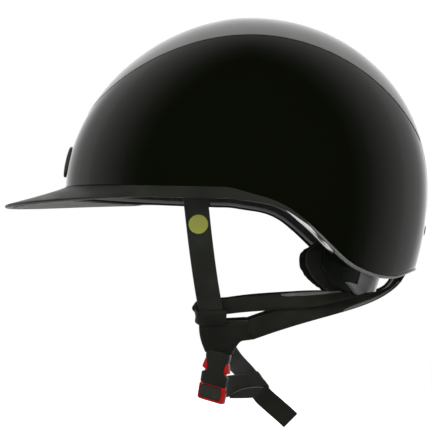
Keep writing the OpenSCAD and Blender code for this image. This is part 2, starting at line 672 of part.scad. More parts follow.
// The plug's frame: a thin lower bar, a slot for the webbing and a head that holds the prongs
bar_h = 1.6;
head_h = 3;
slot_h = plug_l - bar_h - head_h;
module in_buckle() translate(socket_at) rotate([0, buckle_tilt, 0]) rotate([0, 0, -buckle_turn]) children();
module buckle_socket() {
    color([0.1, 0.1, 0.1])
    in_buckle() difference() {
        linear_extrude(socket_l) offset(r = 2, $fn = 24)
            square([buckle_w - 4, buckle_t - 4], center = true);
        translate([-cavity_w / 2, -frame_t / 2 + 0.6, -1]) cube([cavity_w, frame_t - 1.2, prong_l + 2]);
        for (s = [-1, 1]) scale([s, 1, 1]) rotate([90, 0, 0])
            linear_extrude(2 * buckle_t, center = true) offset(r = 0.8, $fn = 24) offset(delta = -0.8)
                polygon([[buckle_w / 2 + 4, window_z - 4], [buckle_w / 2 - waist_depth, window_z],
                         [buckle_w / 2 - waist_depth, window_z + window_l],
                         [buckle_w / 2 + 4, window_z + window_l + 4]]);
    }
}
module buckle_plug() {
    color([0.75, 0.08, 0.05])
    in_buckle() difference() {
        union() {
            translate([0, 0, -plug_l]) linear_extrude(plug_l - gap) offset(r = 1.5, $fn = 24)
                square([buckle_w - 3, frame_t - 3], center = true);
            translate([-1, -1.2, -gap - 0.1]) cube([2, 2.4, prong_l - 2]);
        }
        translate([-web_w / 2 - 0.4, -buckle_t, bar_h - plug_l]) cube([web_w + 0.8, 2 * buckle_t, slot_h]);
        for (s = [-1, 1]) translate([s * prong_x, 0, root_z]) rotate([90, 0, 0])
            cylinder(r = root_r + gap, h = 2 * buckle_t, center = true, $fn = 40);
    }
    color([0.75, 0.08, 0.05])
    in_buckle() translate([0, 0, -(plug_l - bar_h - slot_h / 2)]) rotate([0, 90, 0])
        cylinder(r = bar_r, h = web_w + 1.2, center = true, $fn = 32);
}
// Axis of each prong's flexing root, from the buckle's centre line
prong_x = cavity_w / 2 - root_r - 0.5;
prong_ratio = 3 / prong_l / plug_travel;
// Release pad: its ramp leaves the window's lower edge as fast as the prong swings in
function ramp(z) = cavity_w / 2 - 0.25 + prong_ratio * (z - root_z) * max(0, z - window_z - 0.2) * 0.9;
module prong(s) {
    thick = frame_t - 2;
    top = window_z + window_l - 1;
    half = cavity_w / 2 - 0.25;
    color([0.75, 0.08, 0.05])
    in_buckle() scale([s, 1, 1]) rotate([90, 0, 0]) translate([0, 0, -thick / 2]) linear_extrude(thick)
        union() {
            translate([prong_x, root_z]) circle(r = root_r, $fn = 40);
            polygon([[prong_x - 1, root_z], [prong_x + 1, root_z], [half, 3], [half, window_z],
                     [ramp(mix(window_z, top, 0.5)), mix(window_z, top, 0.5)], [ramp(top), top],
                     [half - 0.4, top + 0.3], [half - 1.2, prong_l], [half - prong_t, prong_l],
                     [half - prong_t, 5]]);
        }
}
module prong_front() prong(-1);
module prong_rear() prong(1);

// Keeper on the webbing under the chin, and the webbing that runs through it
keeper_at = [keeper_x, -2, keeper_z];
web_dir = unit([6.5, -12, -8.2]);
web_wide = unit([0.75, 0.05, 0.62]);
chin_top = on_yoke_right(4, -3.6);
function on_yoke_right(x, up) = let (p = on_yoke(x, up)) [p[0], -p[1], p[2]];
web_route = [chin_top, chin_top + web_dir * 14, keeper_at - web_dir * 26, keeper_at - web_dir * 10];
tail_route = [keeper_at + web_dir * 10, keeper_at + web_dir * 15, keeper_at + [19, -13.5, -19.5],
              keeper_at + [24, -14, -25]];
web_points = concat([for (i = [0:9]) cubic(web_route, i / 9)],
                    [keeper_at], [for (i = [0:6]) cubic(tail_route, i / 6)]);
module chin_web() {
    n = len(web_points);
    color([0.13, 0.13, 0.12])
    strap(web_points, [for (i = [0:n - 1]) let (f = step_up(i / 9, 0, 0.9))
            unit([1, 0, 0]) * (1 - f) + web_wide * f], web_w, web_t);
}
// Flat leather keeper: a sleeve that slides along the webbing
module chin_keeper() {
    normal = unit(cross(web_dir, web_wide));
    side = cross(normal, web_dir);
    w = web_w + 1;
    h = web_t + 0.8;
    color([0.1, 0.1, 0.1])
    multmatrix([[side[0], web_dir[0], normal[0], keeper_at[0]],
                [side[1], web_dir[1], normal[1], keeper_at[1]],
                [side[2], web_dir[2], normal[2], keeper_at[2]],
                [0, 0, 0, 1]])
        rotate([90, 0, 0]) translate([0, 0, -keeper_l / 2]) linear_extrude(keeper_l) difference() {
            offset(r = keeper_wall, $fn = 24) square([w, h], center = true);
            square([w, h], center = true);
        }
}
// Doubled webbing: round the plug's cross bar, turned on edge behind it, and on to the slider
bar_at = socket_at - buckle_up * (plug_l - bar_h - slot_h / 2);
bar_r = 1.8;
wrap_r = bar_r + 0.2 + web_t / 2;
loop_to = keeper_at + [-7.2, -5, 1];
chin_route = [bar_at, bar_at - buckle_out * 13, loop_to + [-22, -6, 0], loop_to];
function loop_wide(f) =
    let (k = step_up(f, 0.1, 0.43), a = mix(-buckle_tilt, 90, k), b = buckle_turn * (1 - k))
    [cos(a) * cos(b), -sin(b), sin(a) * cos(b)];
// Point of one layer: side 1 is the front layer and -1 the back one
function layer(f, side) =
    let (along = unit(cubic(chin_route, f + 0.02) - cubic(chin_route, f - 0.02)),
         w = loop_wide(f), flat = unit(w - along * (w * along)))
    cubic(chin_route, f) + cross(along, flat) * side * mix(wrap_r, web_t / 2 + 0.3, step_up(f, 0, 0.3));
loop_steps = 12;
loop_points = concat(
    [for (i = [loop_steps:-1:0]) layer(i / loop_steps, 1)],
    [for (a = [-60:30:60]) bar_at + wrap_r * (buckle_out * cos(a) + buckle_up * sin(a))],
    [for (i = [0:loop_steps]) layer(i / loop_steps, -1)]);
loop_wides = concat(
    [for (i = [loop_steps:-1:0]) loop_wide(i / loop_steps)],
    [for (a = [-60:30:60]) loop_wide(0)],
    [for (i = [0:loop_steps]) loop_wide(i / loop_steps)]);
module chin_loop() {
    color([0.14, 0.14, 0.13]) strap(loop_points, loop_wides, web_w, web_t);
}

shell();
top_panel();
front_badge();
rear_plug();
peak();
peak_lining();
rear_lip();
foam_liner();
slip_stops();
strap_anchors();
slip_layer();
brow_pad();
side_pad_left();
side_pad_right();
rear_pad();
crown_pad();
cradle_studs();
nape_cradle();
nape_pad();
cradle_tab_left();
cradle_tab_right();
front_strap_left();
front_strap_right();
rear_strap_left();
rear_strap_right();
nape_strap_left();
nape_strap_right();
yoke_left();
yoke_right();
strap_disc();
buckle_socket();
buckle_plug();
prong_front();
prong_rear();
chin_loop();
chin_web();
chin_keeper();
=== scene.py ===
import math

import bmesh
import bpy
import numpy as np
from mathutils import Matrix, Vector


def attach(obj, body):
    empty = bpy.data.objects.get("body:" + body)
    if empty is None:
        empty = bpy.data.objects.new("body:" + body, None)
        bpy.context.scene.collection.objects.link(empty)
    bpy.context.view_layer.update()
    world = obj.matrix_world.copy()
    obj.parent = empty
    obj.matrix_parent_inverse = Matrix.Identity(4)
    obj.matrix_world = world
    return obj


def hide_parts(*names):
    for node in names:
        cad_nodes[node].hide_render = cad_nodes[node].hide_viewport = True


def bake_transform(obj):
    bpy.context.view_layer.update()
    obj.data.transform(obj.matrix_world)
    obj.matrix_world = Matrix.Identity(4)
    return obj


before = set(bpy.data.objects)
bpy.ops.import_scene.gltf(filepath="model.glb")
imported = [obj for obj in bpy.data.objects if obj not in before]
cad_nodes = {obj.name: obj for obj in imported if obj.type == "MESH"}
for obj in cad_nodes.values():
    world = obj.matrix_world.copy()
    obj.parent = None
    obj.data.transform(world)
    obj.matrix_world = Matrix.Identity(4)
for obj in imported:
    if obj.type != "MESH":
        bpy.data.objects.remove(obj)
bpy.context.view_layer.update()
collection = bpy.context.scene.collection

# Every size below is in millimetres, as in the part's source. Meshes are written in metres.
MM = 0.001
rad = np.radians

# Camera and studio

PIXEL, PICTURE = 0.75, 433
AIM = np.array([-19.875, 0.0, -12.375])
CAMERA_DISTANCE = 1600.0
CAMERA_LIFT = math.radians(-1.5)
SENSOR = 36.0
CLIP_START, CLIP_END = 0.05, 20


def maths(tree, operation, *values):
    """Output of a math node whose inputs are numbers or other nodes' outputs."""
    made = tree.nodes.new("ShaderNodeMath")
    made.operation = operation
    for socket, value in zip(made.inputs, values):
        if isinstance(value, (int, float)):
            socket.default_value = value
        else:
            tree.links.new(value, socket)
    return made.outputs[0]


def set_camera():
    """A long lens straight at the wearer's left side, a little below level."""
    back = np.array([0.0, -math.cos(CAMERA_LIFT), math.sin(CAMERA_LIFT)])
    data = bpy.data.cameras.new("camera")
    data.sensor_width = SENSOR
    data.lens = SENSOR * CAMERA_DISTANCE / (PICTURE * PIXEL)
    data.clip_start, data.clip_end = CLIP_START, CLIP_END
    camera = bpy.data.objects.new("camera", data)
    camera.location = (AIM + back * CAMERA_DISTANCE) * MM
    camera.rotation_euler = (math.radians(90) - CAMERA_LIFT, 0, 0)
    collection.objects.link(camera)
    bpy.context.scene.camera = camera


# Name, place and aim in metres, width, height and power
LAMPS = [("key", (-0.9, -1.5, 1.3), (0, 0, -0.02), 1.4, 1.2, 34),
         ("fill", (1.2, -1.6, 0.5), (0, 0, -0.05), 1.4, 1.4, 16),
         ("lift", (0.0, -1.3, -0.1), (0, 0, -0.05), 1.2, 0.3, 8)]


def softbox(name, place, aim, width, height, power):
    """Rectangular lamp at place, turned to face aim."""
    data = bpy.data.lights.new(name, "AREA")
    data.shape, data.size, data.size_y = "RECTANGLE", width, height
    data.energy = power
    lamp = bpy.data.objects.new(name, data)
    lamp.location = place
    lamp.rotation_euler = (Vector(aim) - Vector(place)).to_track_quat("-Z", "Y").to_euler()
    lamp.visible_glossy = False
    collection.objects.link(lamp)


# What reflections see: share of the way round to the back, and brightness there
ROOM = [(-0.12, 0.014), (0.1, 0.1), (0.25, 0.22), (0.5, 0.4), (0.75, 0.54), (0.9, 0.78),
        (1.03, 1.05), (1.15, 1.6)]
ROOM_START, ROOM_SPAN, ROOM_GAIN = -0.2, 1.4, 2.0
END_WALLS, END_LIMIT, BACK_WALL = 0.52, 0.8, 1.15


def set_world():
    """White to the camera. Reflections see a room that is dark on the camera's side and
    grows bright round both ends and behind the helmet."""
    world = bpy.data.worlds.new("studio")
    bpy.context.scene.world = world
    world.use_nodes = True
    tree = world.node_tree
    tree.nodes.clear()
    out, mixed, seen, around, path, coords, split, ramp = (tree.nodes.new("ShaderNode" + kind) for kind in (
        "OutputWorld", "MixShader", "Background", "Background", "LightPath", "TexCoord", "SeparateXYZ",
        "ValToRGB"))
    seen.inputs[0].default_value = (1, 1, 1, 1)
    around.inputs[1].default_value = ROOM_GAIN
    for k, (at, bright) in enumerate(ROOM):
        place, grey = (at - ROOM_START) / ROOM_SPAN, bright / ROOM_GAIN
        element = ramp.color_ramp.elements[k] if k < 2 else ramp.color_ramp.elements.new(place)
        element.position, element.color = place, (grey, grey, grey, 1)
    x, y = split.outputs[0], split.outputs[1]
    aside = maths(tree, "MULTIPLY_ADD", maths(tree, "ABSOLUTE", x), END_WALLS, y)
    reach = maths(tree, "MAXIMUM", maths(tree, "MINIMUM", aside, END_LIMIT), maths(tree, "MULTIPLY", y, BACK_WALL))
    span = maths(tree, "MULTIPLY_ADD", reach, 1 / ROOM_SPAN, -ROOM_START / ROOM_SPAN)
    for start, end in ((coords.outputs["Generated"], split.inputs[0]), (span, ramp.inputs[0]),
                       (ramp.outputs[0], around.inputs[0]), (path.outputs["Is Camera Ray"], mixed.inputs[0]),
                       (around.outputs[0], mixed.inputs[1]), (seen.outputs[0], mixed.inputs[2]),
                       (mixed.outputs[0], out.inputs[0])):
        tree.links.new(start, end)


FLOOR_Z, FLOOR_RADIUS, FLOOR_MID_X, FLOOR_SIDES = -189.0, 900, -20, 96
PAPER, PAPER_ROUGH = 0.82, 0.9


def set_floor():
    """Round pale floor that stays white to the camera except where the helmet shades it."""
    c, s = circle(FLOOR_SIDES)
    rim = np.c_[c * FLOOR_RADIUS + FLOOR_MID_X, s * FLOOR_RADIUS, np.full(FLOOR_SIDES, FLOOR_Z)]
    mesh = bpy.data.meshes.new("floor")
    mesh.from_pydata((rim * MM).tolist(), [], [list(range(FLOOR_SIDES))])
    floor = bpy.data.objects.new("floor", mesh)
    floor.visible_glossy = False
    collection.objects.link(floor)
    mat = bpy.data.materials.new("floor_paper")
    mat.use_nodes = True
    tree = mat.node_tree
    sockets = tree.nodes["Principled BSDF"].inputs
    sockets["Base Color"].default_value = (PAPER, PAPER, PAPER, 1)
    sockets["Roughness"].default_value = PAPER_ROUGH
    sockets["Emission Color"].default_value = (1, 1, 1, 1)
    path = tree.nodes.new("ShaderNodeLightPath")
    glow = maths(tree, "MULTIPLY", path.outputs["Is Camera Ray"], PAPER)
    tree.links.new(glow, sockets["Emission Strength"])
    mesh.materials.append(mat)


# Finishes

# The wave texture repeats every 2 pi / 20 of its coordinate
WAVE_REPEAT = 2 * math.pi / 20
NOISE_ROUGH = 0.55


class Finish:
    """Small helper that wires one procedural material on Object coordinates or on the UV map."""

    def __init__(self, name, base, rough, **sockets):
        self.mat = bpy.data.materials.new(name)
        self.mat.use_nodes = True
        self.tree = self.mat.node_tree
        self.sockets = self.tree.nodes["Principled BSDF"].inputs
        self.sockets["Base Color"].default_value = (*base, 1)
        self.sockets["Roughness"].default_value = rough
        for key, value in sockets.items():
            self.sockets[key.replace("_", " ")].default_value = value
        self.base, self.height = base, None
        self.coords = self.tree.nodes.new("ShaderNodeTexCoord")

    def texture(self, kind, output, scale, source="Object", values=(), **settings):
        """Texture node on scaled coordinates, with its own scale left at 1."""
        mapping = self.tree.nodes.new("ShaderNodeMapping")
        mapping.inputs["Scale"].default_value = (scale,) * 3
        made = self.tree.nodes.new("ShaderNodeTex" + kind)
        for key, value in settings.items():
            setattr(made, key, value)
        for key, value in (("Scale", 1.0), *values):
            made.inputs[key].default_value = value
        self.tree.links.new(self.coords.outputs[source], mapping.inputs["Vector"])
        self.tree.links.new(mapping.outputs[0], made.inputs["Vector"])
        return made.outputs[output]

    def noise(self, scale, detail):
        return self.texture("Noise", "Fac", scale, values=(("Detail", detail), ("Roughness", NOISE_ROUGH)))

    def cells(self, scale):
        return self.texture("Voronoi", "Distance", scale, feature="SMOOTH_F1")

    def wave(self, period, axis, source="UV"):
        """Sine bands of that period in millimetres."""
        return self.texture("Wave", "Fac", WAVE_REPEAT / (period * MM), source, (("Distortion", 0.0),),
                            wave_type="BANDS", bands_direction=axis, wave_profile="SIN")

    def tint(self, factor, dark, light, span=(0.3, 0.7)):
        """Base colour from a ramp between two shades of it."""
        ramp = self.tree.nodes.new("ShaderNodeValToRGB")
        for element, at, share in zip(ramp.color_ramp.elements, span, (dark, light)):
            element.position = at
            element.color = (*(min(1.0, v * share) for v in self.base), 1)
        self.tree.links.new(factor, ramp.inputs[0])
        self.tree.links.new(ramp.outputs[0], self.sockets["Base Color"])
        return self

    def wear(self, factor, low, high, span=(0.3, 0.7)):
        """Roughness from a ramp between two values."""
        ramp = self.tree.nodes.new("ShaderNodeMapRange")
        for key, value in zip(("From Min", "From Max", "To Min", "To Max"), (*span, low, high)):
            ramp.inputs[key].default_value = value
        self.tree.links.new(factor, ramp.inputs["Value"])
        self.tree.links.new(ramp.outputs[0], self.sockets["Roughness"])
        return self

    def bump(self, factor, depth, strength=1.0):
        """Bump of depth millimetres, laid over any earlier bump."""
        made = self.tree.nodes.new("ShaderNodeBump")
        made.inputs["Strength"].default_value = strength
        made.inputs["Distance"].default_value = depth * MM
        self.tree.links.new(factor, made.inputs["Height"])
        if self.height is not None:
            self.tree.links.new(self.height, made.inputs["Normal"])
        self.height = made.outputs[0]
        self.tree.links.new(self.height, self.sockets["Normal"])
        return self


def noisy(name, base, rough, tint=None, wear=None, bump=None, **sockets):
    """Finish whose colour, roughness and relief each follow a noise of their own. Each is
    given as the noise's scale and detail, then what tint, wear or bump takes after it."""
    f = Finish(name, base, rough, **sockets)
    for apply, values in ((f.tint, tint), (f.wear, wear), (f.bump, bump)):
        if values:
            apply(f.noise(*values[:2]), *values[2:])
    return f


def brim_lining():
    f = Finish("brim_lining", (0.13, 0.13, 0.122), 0.85, Sheen_Weight=0.15, Sheen_Roughness=0.5)
    weave = maths(f.tree, "MULTIPLY", f.wave(1.3, "X", "Object"), f.wave(1.3, "Y", "Object"))
    return f.tint(weave, 0.75, 1.15, (0.1, 0.8)).bump(weave, 0.12)


def bead_foam():
    f = noisy("bead_foam", (0.02, 0.02, 0.021), 0.7, tint=(150, 2, 0.7, 1.5))
    return f.bump(f.cells(330), 0.25)


def knit_cover(name):
    f = noisy(name, (0.0052, 0.0055, 0.0046), 0.9, tint=(35, 4, 0.75, 1.4), Sheen_Weight=0.06,
              Specular_IOR_Level=0.25, Sheen_Roughness=0.45)
    f.bump(maths(f.tree, "MULTIPLY", f.wave(1.4, "X", "Object"), f.wave(1.7, "Z", "Object")), 0.2)
    return f.bump(f.noise(1300, 3), 0.1)


def strap_leather(name, base):
    f = noisy(name, base, 0.42, tint=(45, 5, 0.75, 1.35), wear=(120, 4, 0.36, 0.5), bump=(70, 4, 0.35, 0.6))
    return f.bump(f.cells(950), 0.06)


def webbing(name, base):
    f = Finish(name, base, 0.72, Sheen_Weight=0.2, Sheen_Roughness=0.4)
    weave = maths(f.tree, "ADD", f.wave(1.1, "X"), maths(f.tree, "MULTIPLY", f.wave(0.8, "Y"), 0.6))
    return f.tint(maths(f.tree, "MULTIPLY", weave, 0.6), 0.6, 1.4, (0.15, 0.85)).bump(weave, 0.14)


def thread():
    f = noisy("thread", (0.016, 0.016, 0.014), 0.7, tint=(600, 2, 0.7, 1.3))
    return f.bump(f.wave(0.7, "DIAGONAL", "Object"), 0.06)


def moulded(name, base, rough, texture=0.02, vary=(0.85, 1.2), **sockets):
    return noisy(name, base, rough, (55, 4, *vary), (130, 4, rough * 0.85, min(1, rough * 1.25)),
                 (1500, 2, texture), **sockets)


finishes = {
    "shell": noisy("gloss_lacquer", (0.0018, 0.0024, 0.0007), 0.08, wear=(22, 4, 0.06, 0.11),
                   bump=(900, 2, 0.001)),
    "panel": noisy("satin_paint", (0.125, 0.126, 0.122), 0.3, (14, 2, 0.88, 1.16), (45, 1, 0.28, 0.35),
                   (1000, 2, 0.008), Coat_Weight=0.7, Coat_Roughness=0.26),
    "trim": noisy("soft_touch_trim", (0.0135, 0.0145, 0.0112), 0.5, (20, 5, 0.8, 1.25),
                  (80, 4, 0.44, 0.58), (2200, 3, 0.03)),
    "lining": brim_lining(),
    "foam": bead_foam(),
    "slip": noisy("slip_sheet", (0.36, 0.38, 0.06), 0.4, tint=(40, 3, 0.9, 1.08), bump=(700, 2, 0.02)),
    "padding": knit_cover("knit_cover"),
    "strap": strap_leather("strap_leather", (0.0088, 0.0096, 0.0072)),
    "front_strap": strap_leather("front_strap_leather", (0.0135, 0.0147, 0.0115)),
    "webbing": webbing("webbing", (0.0095, 0.01, 0.0072)),
    "loop_webbing": webbing("loop_webbing", (0.0175, 0.019, 0.0155)),
    "thread": thread(),
    # Pale finish of the strips that paint highlights and sheen on the straps and the chin fold
    "painted_highlight_strip": noisy("painted_highlight_strip", (0.085, 0.087, 0.08), 0.5, tint=(90, 4, 0.6, 1.35),
                          bump=(260, 3, 0.2)),
    # Near-black and barely glossy: painted shade in the groove round the panel
    "seam": noisy("seam_painted_shade", (0.0012, 0.0012, 0.001), 0.9, tint=(80, 3, 0.7, 1.4), bump=(900, 2, 0.02),
                  Specular_IOR_Level=0.1),
    "badge": moulded("badge_plate", (0.04, 0.034, 0.03), 0.32, 0.01),
    "plug_oval": moulded("oval_plug", (0.02, 0.02, 0.02), 0.3),
    # Partly the lip's own grey, partly painted highlight: raised to pale grey for the bright line along the shell's
    # edge
    "lip": moulded("edge_lip_and_highlight", (0.11, 0.113, 0.108), 0.24, 0.006),
    # Pale gloss of the strands behind the ear: painted reflection along the shell's edge
    "painted_reflection": moulded("pale_painted_reflection", (0.46, 0.465, 0.455), 0.2, 0.006, (0.94, 1.05)),
    "nape_cover": knit_cover("nape_cover"),
    "stops": moulded("stop_rubber", (0.3, 0.3, 0.1), 0.6),
    "anchors": moulded("anchor_nylon", (0.02, 0.02, 0.02), 0.45),
    "cradle": moulded("cradle_plastic", (0.0035, 0.0048, 0.0035), 0.12, 0.008, Specular_IOR_Level=0.2),
    "tab": moulded("tab_plastic", (0.13, 0.134, 0.13), 0.3, 0.01),
    "disc": moulded("disc_plastic", (0.19, 0.205, 0.034), 0.4, 0.01, (0.95, 1.05)),
    "socket": moulded("socket_nylon", (0.0105, 0.011, 0.008), 0.38, 0.02),
    "release": moulded("release_red", (0.27, 0.004, 0.003), 0.3, 0.01, (0.9, 1.1), Specular_IOR_Level=0.35),
    "keeper": moulded("keeper_rubber", (0.02, 0.0215, 0.018), 0.5, 0.03),
}

# Numbers and curves


def full_turn(count):
    """Angles of that many points evenly round a ring."""
    return np.linspace(0, 2 * np.pi, count, endpoint=False)


def circle(count):
    """Cosines and sines of that many points evenly round a ring."""
    return np.cos(full_turn(count)), np.sin(full_turn(count))


def shares(count):
    """That many even shares from 0 to 1."""
    return np.linspace(0, 1, count)


def bend(v, power):
    """Power that keeps the sign, which turns a circle into a superellipse."""
    return np.sign(v) * np.abs(v) ** power


def bell(v, width):
    """Bell curve of that width round zero."""
    return np.exp(-(v / width) ** 2)


def step_up(x, a, b):
    """Smooth step from 0 at a to 1 at b."""
    u = np.clip((x - a) / (b - a), 0, 1)
    return u * u * (3 - 2 * u)


def mix(a, b, f):
    return a + (b - a) * f


def unit(v):
    v = np.asarray(v, float)
    return v / np.linalg.norm(v, axis=-1, keepdims=True)


def cubic(p, f):
    """Cubic curve through four control points."""
    f = np.asarray(f, float)[:, None]
    g = 1 - f
    p = np.asarray(p, float)
    return g**3 * p[0] + 3 * g * g * f * p[1] + 3 * g * f * f * p[2] + f**3 * p[3]


def run_along(points):
    """Distance along a path at each of its points."""
    return np.concatenate([[0], np.cumsum(np.linalg.norm(np.diff(points, axis=0), axis=1))])


def read_off(at, run, table):
    """Each column of a table, read off at the given distances."""
    return np.stack([np.interp(at, run, column) for column in np.asarray(table).T], 1)


def round_corners(points, radii, count=8):
    """Closed outline with each corner replaced by a curve that starts at its radius."""
    p = np.asarray(points, float)
    r = np.asarray(radii, float)[:, None]
    a, b = p + unit(np.roll(p, 1, 0) - p) * r, p + unit(np.roll(p, -1, 0) - p) * r
    t = np.linspace(0, 1, count)[None, :, None]
    return ((1 - t) ** 2 * a[:, None] + 2 * t * (1 - t) * p[:, None] + t * t * b[:, None]).reshape(-1, 2)


def even(outline, count):
    """The same closed outline with points at even distances."""
    closed = np.concatenate([outline, outline[:1]])
    run = run_along(closed)
    return read_off(np.linspace(0, run[-1], count, endpoint=False), run, closed)


def rounded(sections, times):
    """Cuts the corners of every closed section: each new point lies a quarter along an edge."""
    for _ in range(times):
        after = np.roll(sections, -1, axis=1)
        pair = np.stack([0.75 * sections + 0.25 * after, 0.25 * sections + 0.75 * after], 2)
        sections = pair.reshape(len(sections), -1, 3)
    return sections


# Mesh writing

ALL_SMOOTH = 180.0


def turn_outwards(mesh):
    """Turns every face over if the closed surface is inside out."""
    work = bmesh.new()
    work.from_mesh(mesh)
    inside_out = work.calc_volume(signed=True) < 0
    work.free()
    if inside_out:
        mesh.flip_normals()


def smooth_faces(mesh):
    mesh.polygons.foreach_set("use_smooth", np.ones(len(mesh.polygons), bool))


def read_points(mesh, key="co"):
    flat = np.empty(len(mesh.vertices) * 3)
    mesh.vertices.foreach_get(key, flat)
    return flat.reshape(-1, 3)


def add_mesh(name, points, faces, finish, body, node=None, uv=None, sharp=35.0):
    """Makes a piece from an array of points in millimetres and lists of faces. The body is a
    name, or two names and the points where the blend from one to the other starts and ends."""
    mesh = bpy.data.meshes.new(name)
    mesh.from_pydata((np.asarray(points).reshape(-1, 3) * MM).tolist(), [], faces)
    mesh.update()
    turn_outwards(mesh)
    if uv is not None:
        layer = mesh.uv_layers.new(name="UVMap")
        corner = np.empty(len(mesh.loops), np.int32)
        mesh.loops.foreach_get("vertex_index", corner)
        layer.data.foreach_set("uv", (np.asarray(uv).reshape(-1, 2)[corner] * MM).ravel())
    smooth_faces(mesh)
    mesh.set_sharp_from_angle(angle=math.radians(sharp))
    mesh.materials.append(finishes[finish].mat)
    piece = bpy.data.objects.new(name, mesh)
    collection.objects.link(piece)
    if isinstance(body, str):
        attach(piece, body)
    else:
        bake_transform(piece)
    if node:
        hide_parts(node)
    return piece


def quads(rows, cols, wrap_rows=False):
    """Faces of a grid of points, rows by cols, closed along the rows and optionally across."""
    i = np.arange(rows if wrap_rows else rows - 1)[:, None]
    j = np.arange(cols)[None, :]
    after, below = (j + 1) % cols, (i + 1) % rows * cols
    return np.stack(np.broadcast_arrays(i * cols + j, i * cols + after, below + after, below + j),
                    -1).reshape(-1, 4).tolist()


def bowl_piece(name, rows, top, bottom, finish, body, node=None, sharp=50.0):
    """Closed surface through rings of points, with a fan of triangles at each pole."""
    rows = np.asarray(rows)
    m, n = rows.shape[:2]
    j = np.arange(n)
    k = (j + 1) % n
    faces = quads(m, n)
    faces += np.c_[np.full(n, m * n), k, j].tolist()
    faces += np.c_[np.full(n, m * n + 1), (m - 1) * n + j, (m - 1) * n + k].tolist()
    return add_mesh(name, np.concatenate([rows.reshape(-1, 3), [top, bottom]]), faces, finish, body,
                    node, sharp=sharp)


def loft_piece(name, sections, finish, body, node=None, uv=None, sharp=35.0):
    """Closed surface through closed sections of points, with a flat cap on each end."""
    sections = np.asarray(sections)
    m, n = sections.shape[:2]
    faces = quads(m, n)
    faces += [list(range(n))[::-1], list(range((m - 1) * n, m * n))]
    return add_mesh(name, sections, faces, finish, body, node, uv, sharp)


def ring_piece(name, sections, finish, body, node=None, sharp=35.0):
    """Closed surface through closed sections whose last one joins the first."""
    faces = quads(*np.shape(sections)[:2], wrap_rows=True)
    return add_mesh(name, sections, faces, finish, body, node, sharp=sharp)


# The shell's skin

FRONT, REAR, SIDE, CROWN, TUCK = 138.0, 133.0, 108.0, 128.0, 175.0
WAIST_X, WAIST_Z = 5.0, 8.0
PLAN_POWER, FRONT_POWER, REAR_POWER, SIDE_POWER, TUCK_POWER = 2.1, 1.87, 2.05, 2.2, 1.92
EDGE_FRONT_Z, EDGE_SLOPE, EAR_DROP, EAR_START, EAR_END, NAPE_RISE = 9.4, 0.03, 58.6, -16.0, 104.0, 7.0
RISE_START, RISE_END = EAR_END + 4, EAR_END + 30
WALL, GAP, RECESS = 3.0, 0.3, 1.2
EAR_ARCH, ARCH_RISE, ARCH_FALL = 7.2, (-3, 36), (42, 80)
FOAM_OUT, FOAM_IN, FOAM_LIFT_OUT, FOAM_LIFT_IN = 3.3, 24.3, 2.2, 3.2
SLIP_OUT, SLIP_IN, PAD_OUT = 26.9, 27.8, 28.5
CRADLE_OUT, CRADLE_IN, NAPE_OUT = 27.0, 29.0, 29.9
# Trim's height in front, over the ear, behind it and at the nape, and where it changes
TRIM_FRONT, TRIM_EAR, TRIM_BEHIND, TRIM_NAPE = 8.4, 4.2, 5.4, 2.4
TRIM_SLIMS, TRIM_FILLS, TRIM_ENDS = (-20, 26), (30, 52), (56, 76)
FOOT_REACH = 0.97


def plan_radius(az, d=0.0):
    """Superellipse in plan, longer in front than behind, each half-axis drawn in by d."""
    c, s = np.abs(np.cos(az)), np.abs(np.sin(az))
    along = np.where(np.cos(az) < 0, FRONT, REAR) - d
    return ((c / along) ** PLAN_POWER + (s / (SIDE - d)) ** PLAN_POWER) ** (-1 / PLAN_POWER)


def arch_power(az):
    """Exponent of the upright outline, which changes from the sides to front and rear."""
    ends = np.where(np.cos(az) < 0, FRONT_POWER, REAR_POWER)
    return SIDE_POWER + (ends - SIDE_POWER) * np.cos(az) ** 2


def skin(az, t, d=0.0):
    """Point of the skin at azimuth az and elevation t, drawn in by d: a superellipse
    above the waist, and a slower tuck below it, where t is negative."""
    az, t, d = np.broadcast_arrays(az, t, d)
    power = np.where(t < 0, TUCK_POWER, arch_power(az))
    r = plan_radius(az, d) * np.abs(np.cos(t)) ** (2 / power)
    tall = np.where(t < 0, TUCK, CROWN - d)
    z = WAIST_Z + np.sign(t) * tall * np.abs(np.sin(t)) ** (2 / power)
    return np.stack([WAIST_X + r * np.cos(az), r * np.sin(az), z], -1)


def crown(d):
    """Top point of the skin drawn in by d."""
    return skin(0.0, np.pi / 2, d)


def level(az, z, d=0.0):
    """Elevation at which the skin drawn in by d has height z."""
    az, z, d = np.broadcast_arrays(az, np.asarray(z, float), d)
    below = np.clip((WAIST_Z - z) / TUCK, 0, 1) ** (TUCK_POWER / 2)
    above = np.clip((z - WAIST_Z) / (CROWN - d), 0, 1) ** (arch_power(az) / 2)
    return np.where(z < WAIST_Z, -np.arcsin(below), np.arcsin(above))


def skin_at(az, z, d=0.0):
    return skin(az, level(az, z, d), d)


DEPTH_LOW, DEPTH_HIGH, HALVINGS = -20.0, 60.0, 24


def depth_of(points):
    """Offset d whose skin runs through each point, found by halving."""
    x, y, z = (points - [WAIST_X, 0, WAIST_Z]).T
    az, r = np.arctan2(y, x), np.hypot(x, y)
    low, high = np.full(len(x), DEPTH_LOW), np.full(len(x), DEPTH_HIGH)
    power = np.where(z < 0, TUCK_POWER, arch_power(az))
    for _ in range(HALVINGS):
        d = (low + high) / 2
        tall = np.where(z < 0, TUCK, CROWN - d)
        inside = (r / plan_radius(az, d)) ** power + (np.abs(z) / tall) ** power < 1
        low, high = np.where(inside, d, low), np.where(inside, high, d)
    return (low + high) / 2


def degrees_round(points):
    """Azimuth of each point, in degrees."""
    return np.degrees(np.arctan2(points[:, 1], points[:, 0] - WAIST_X))


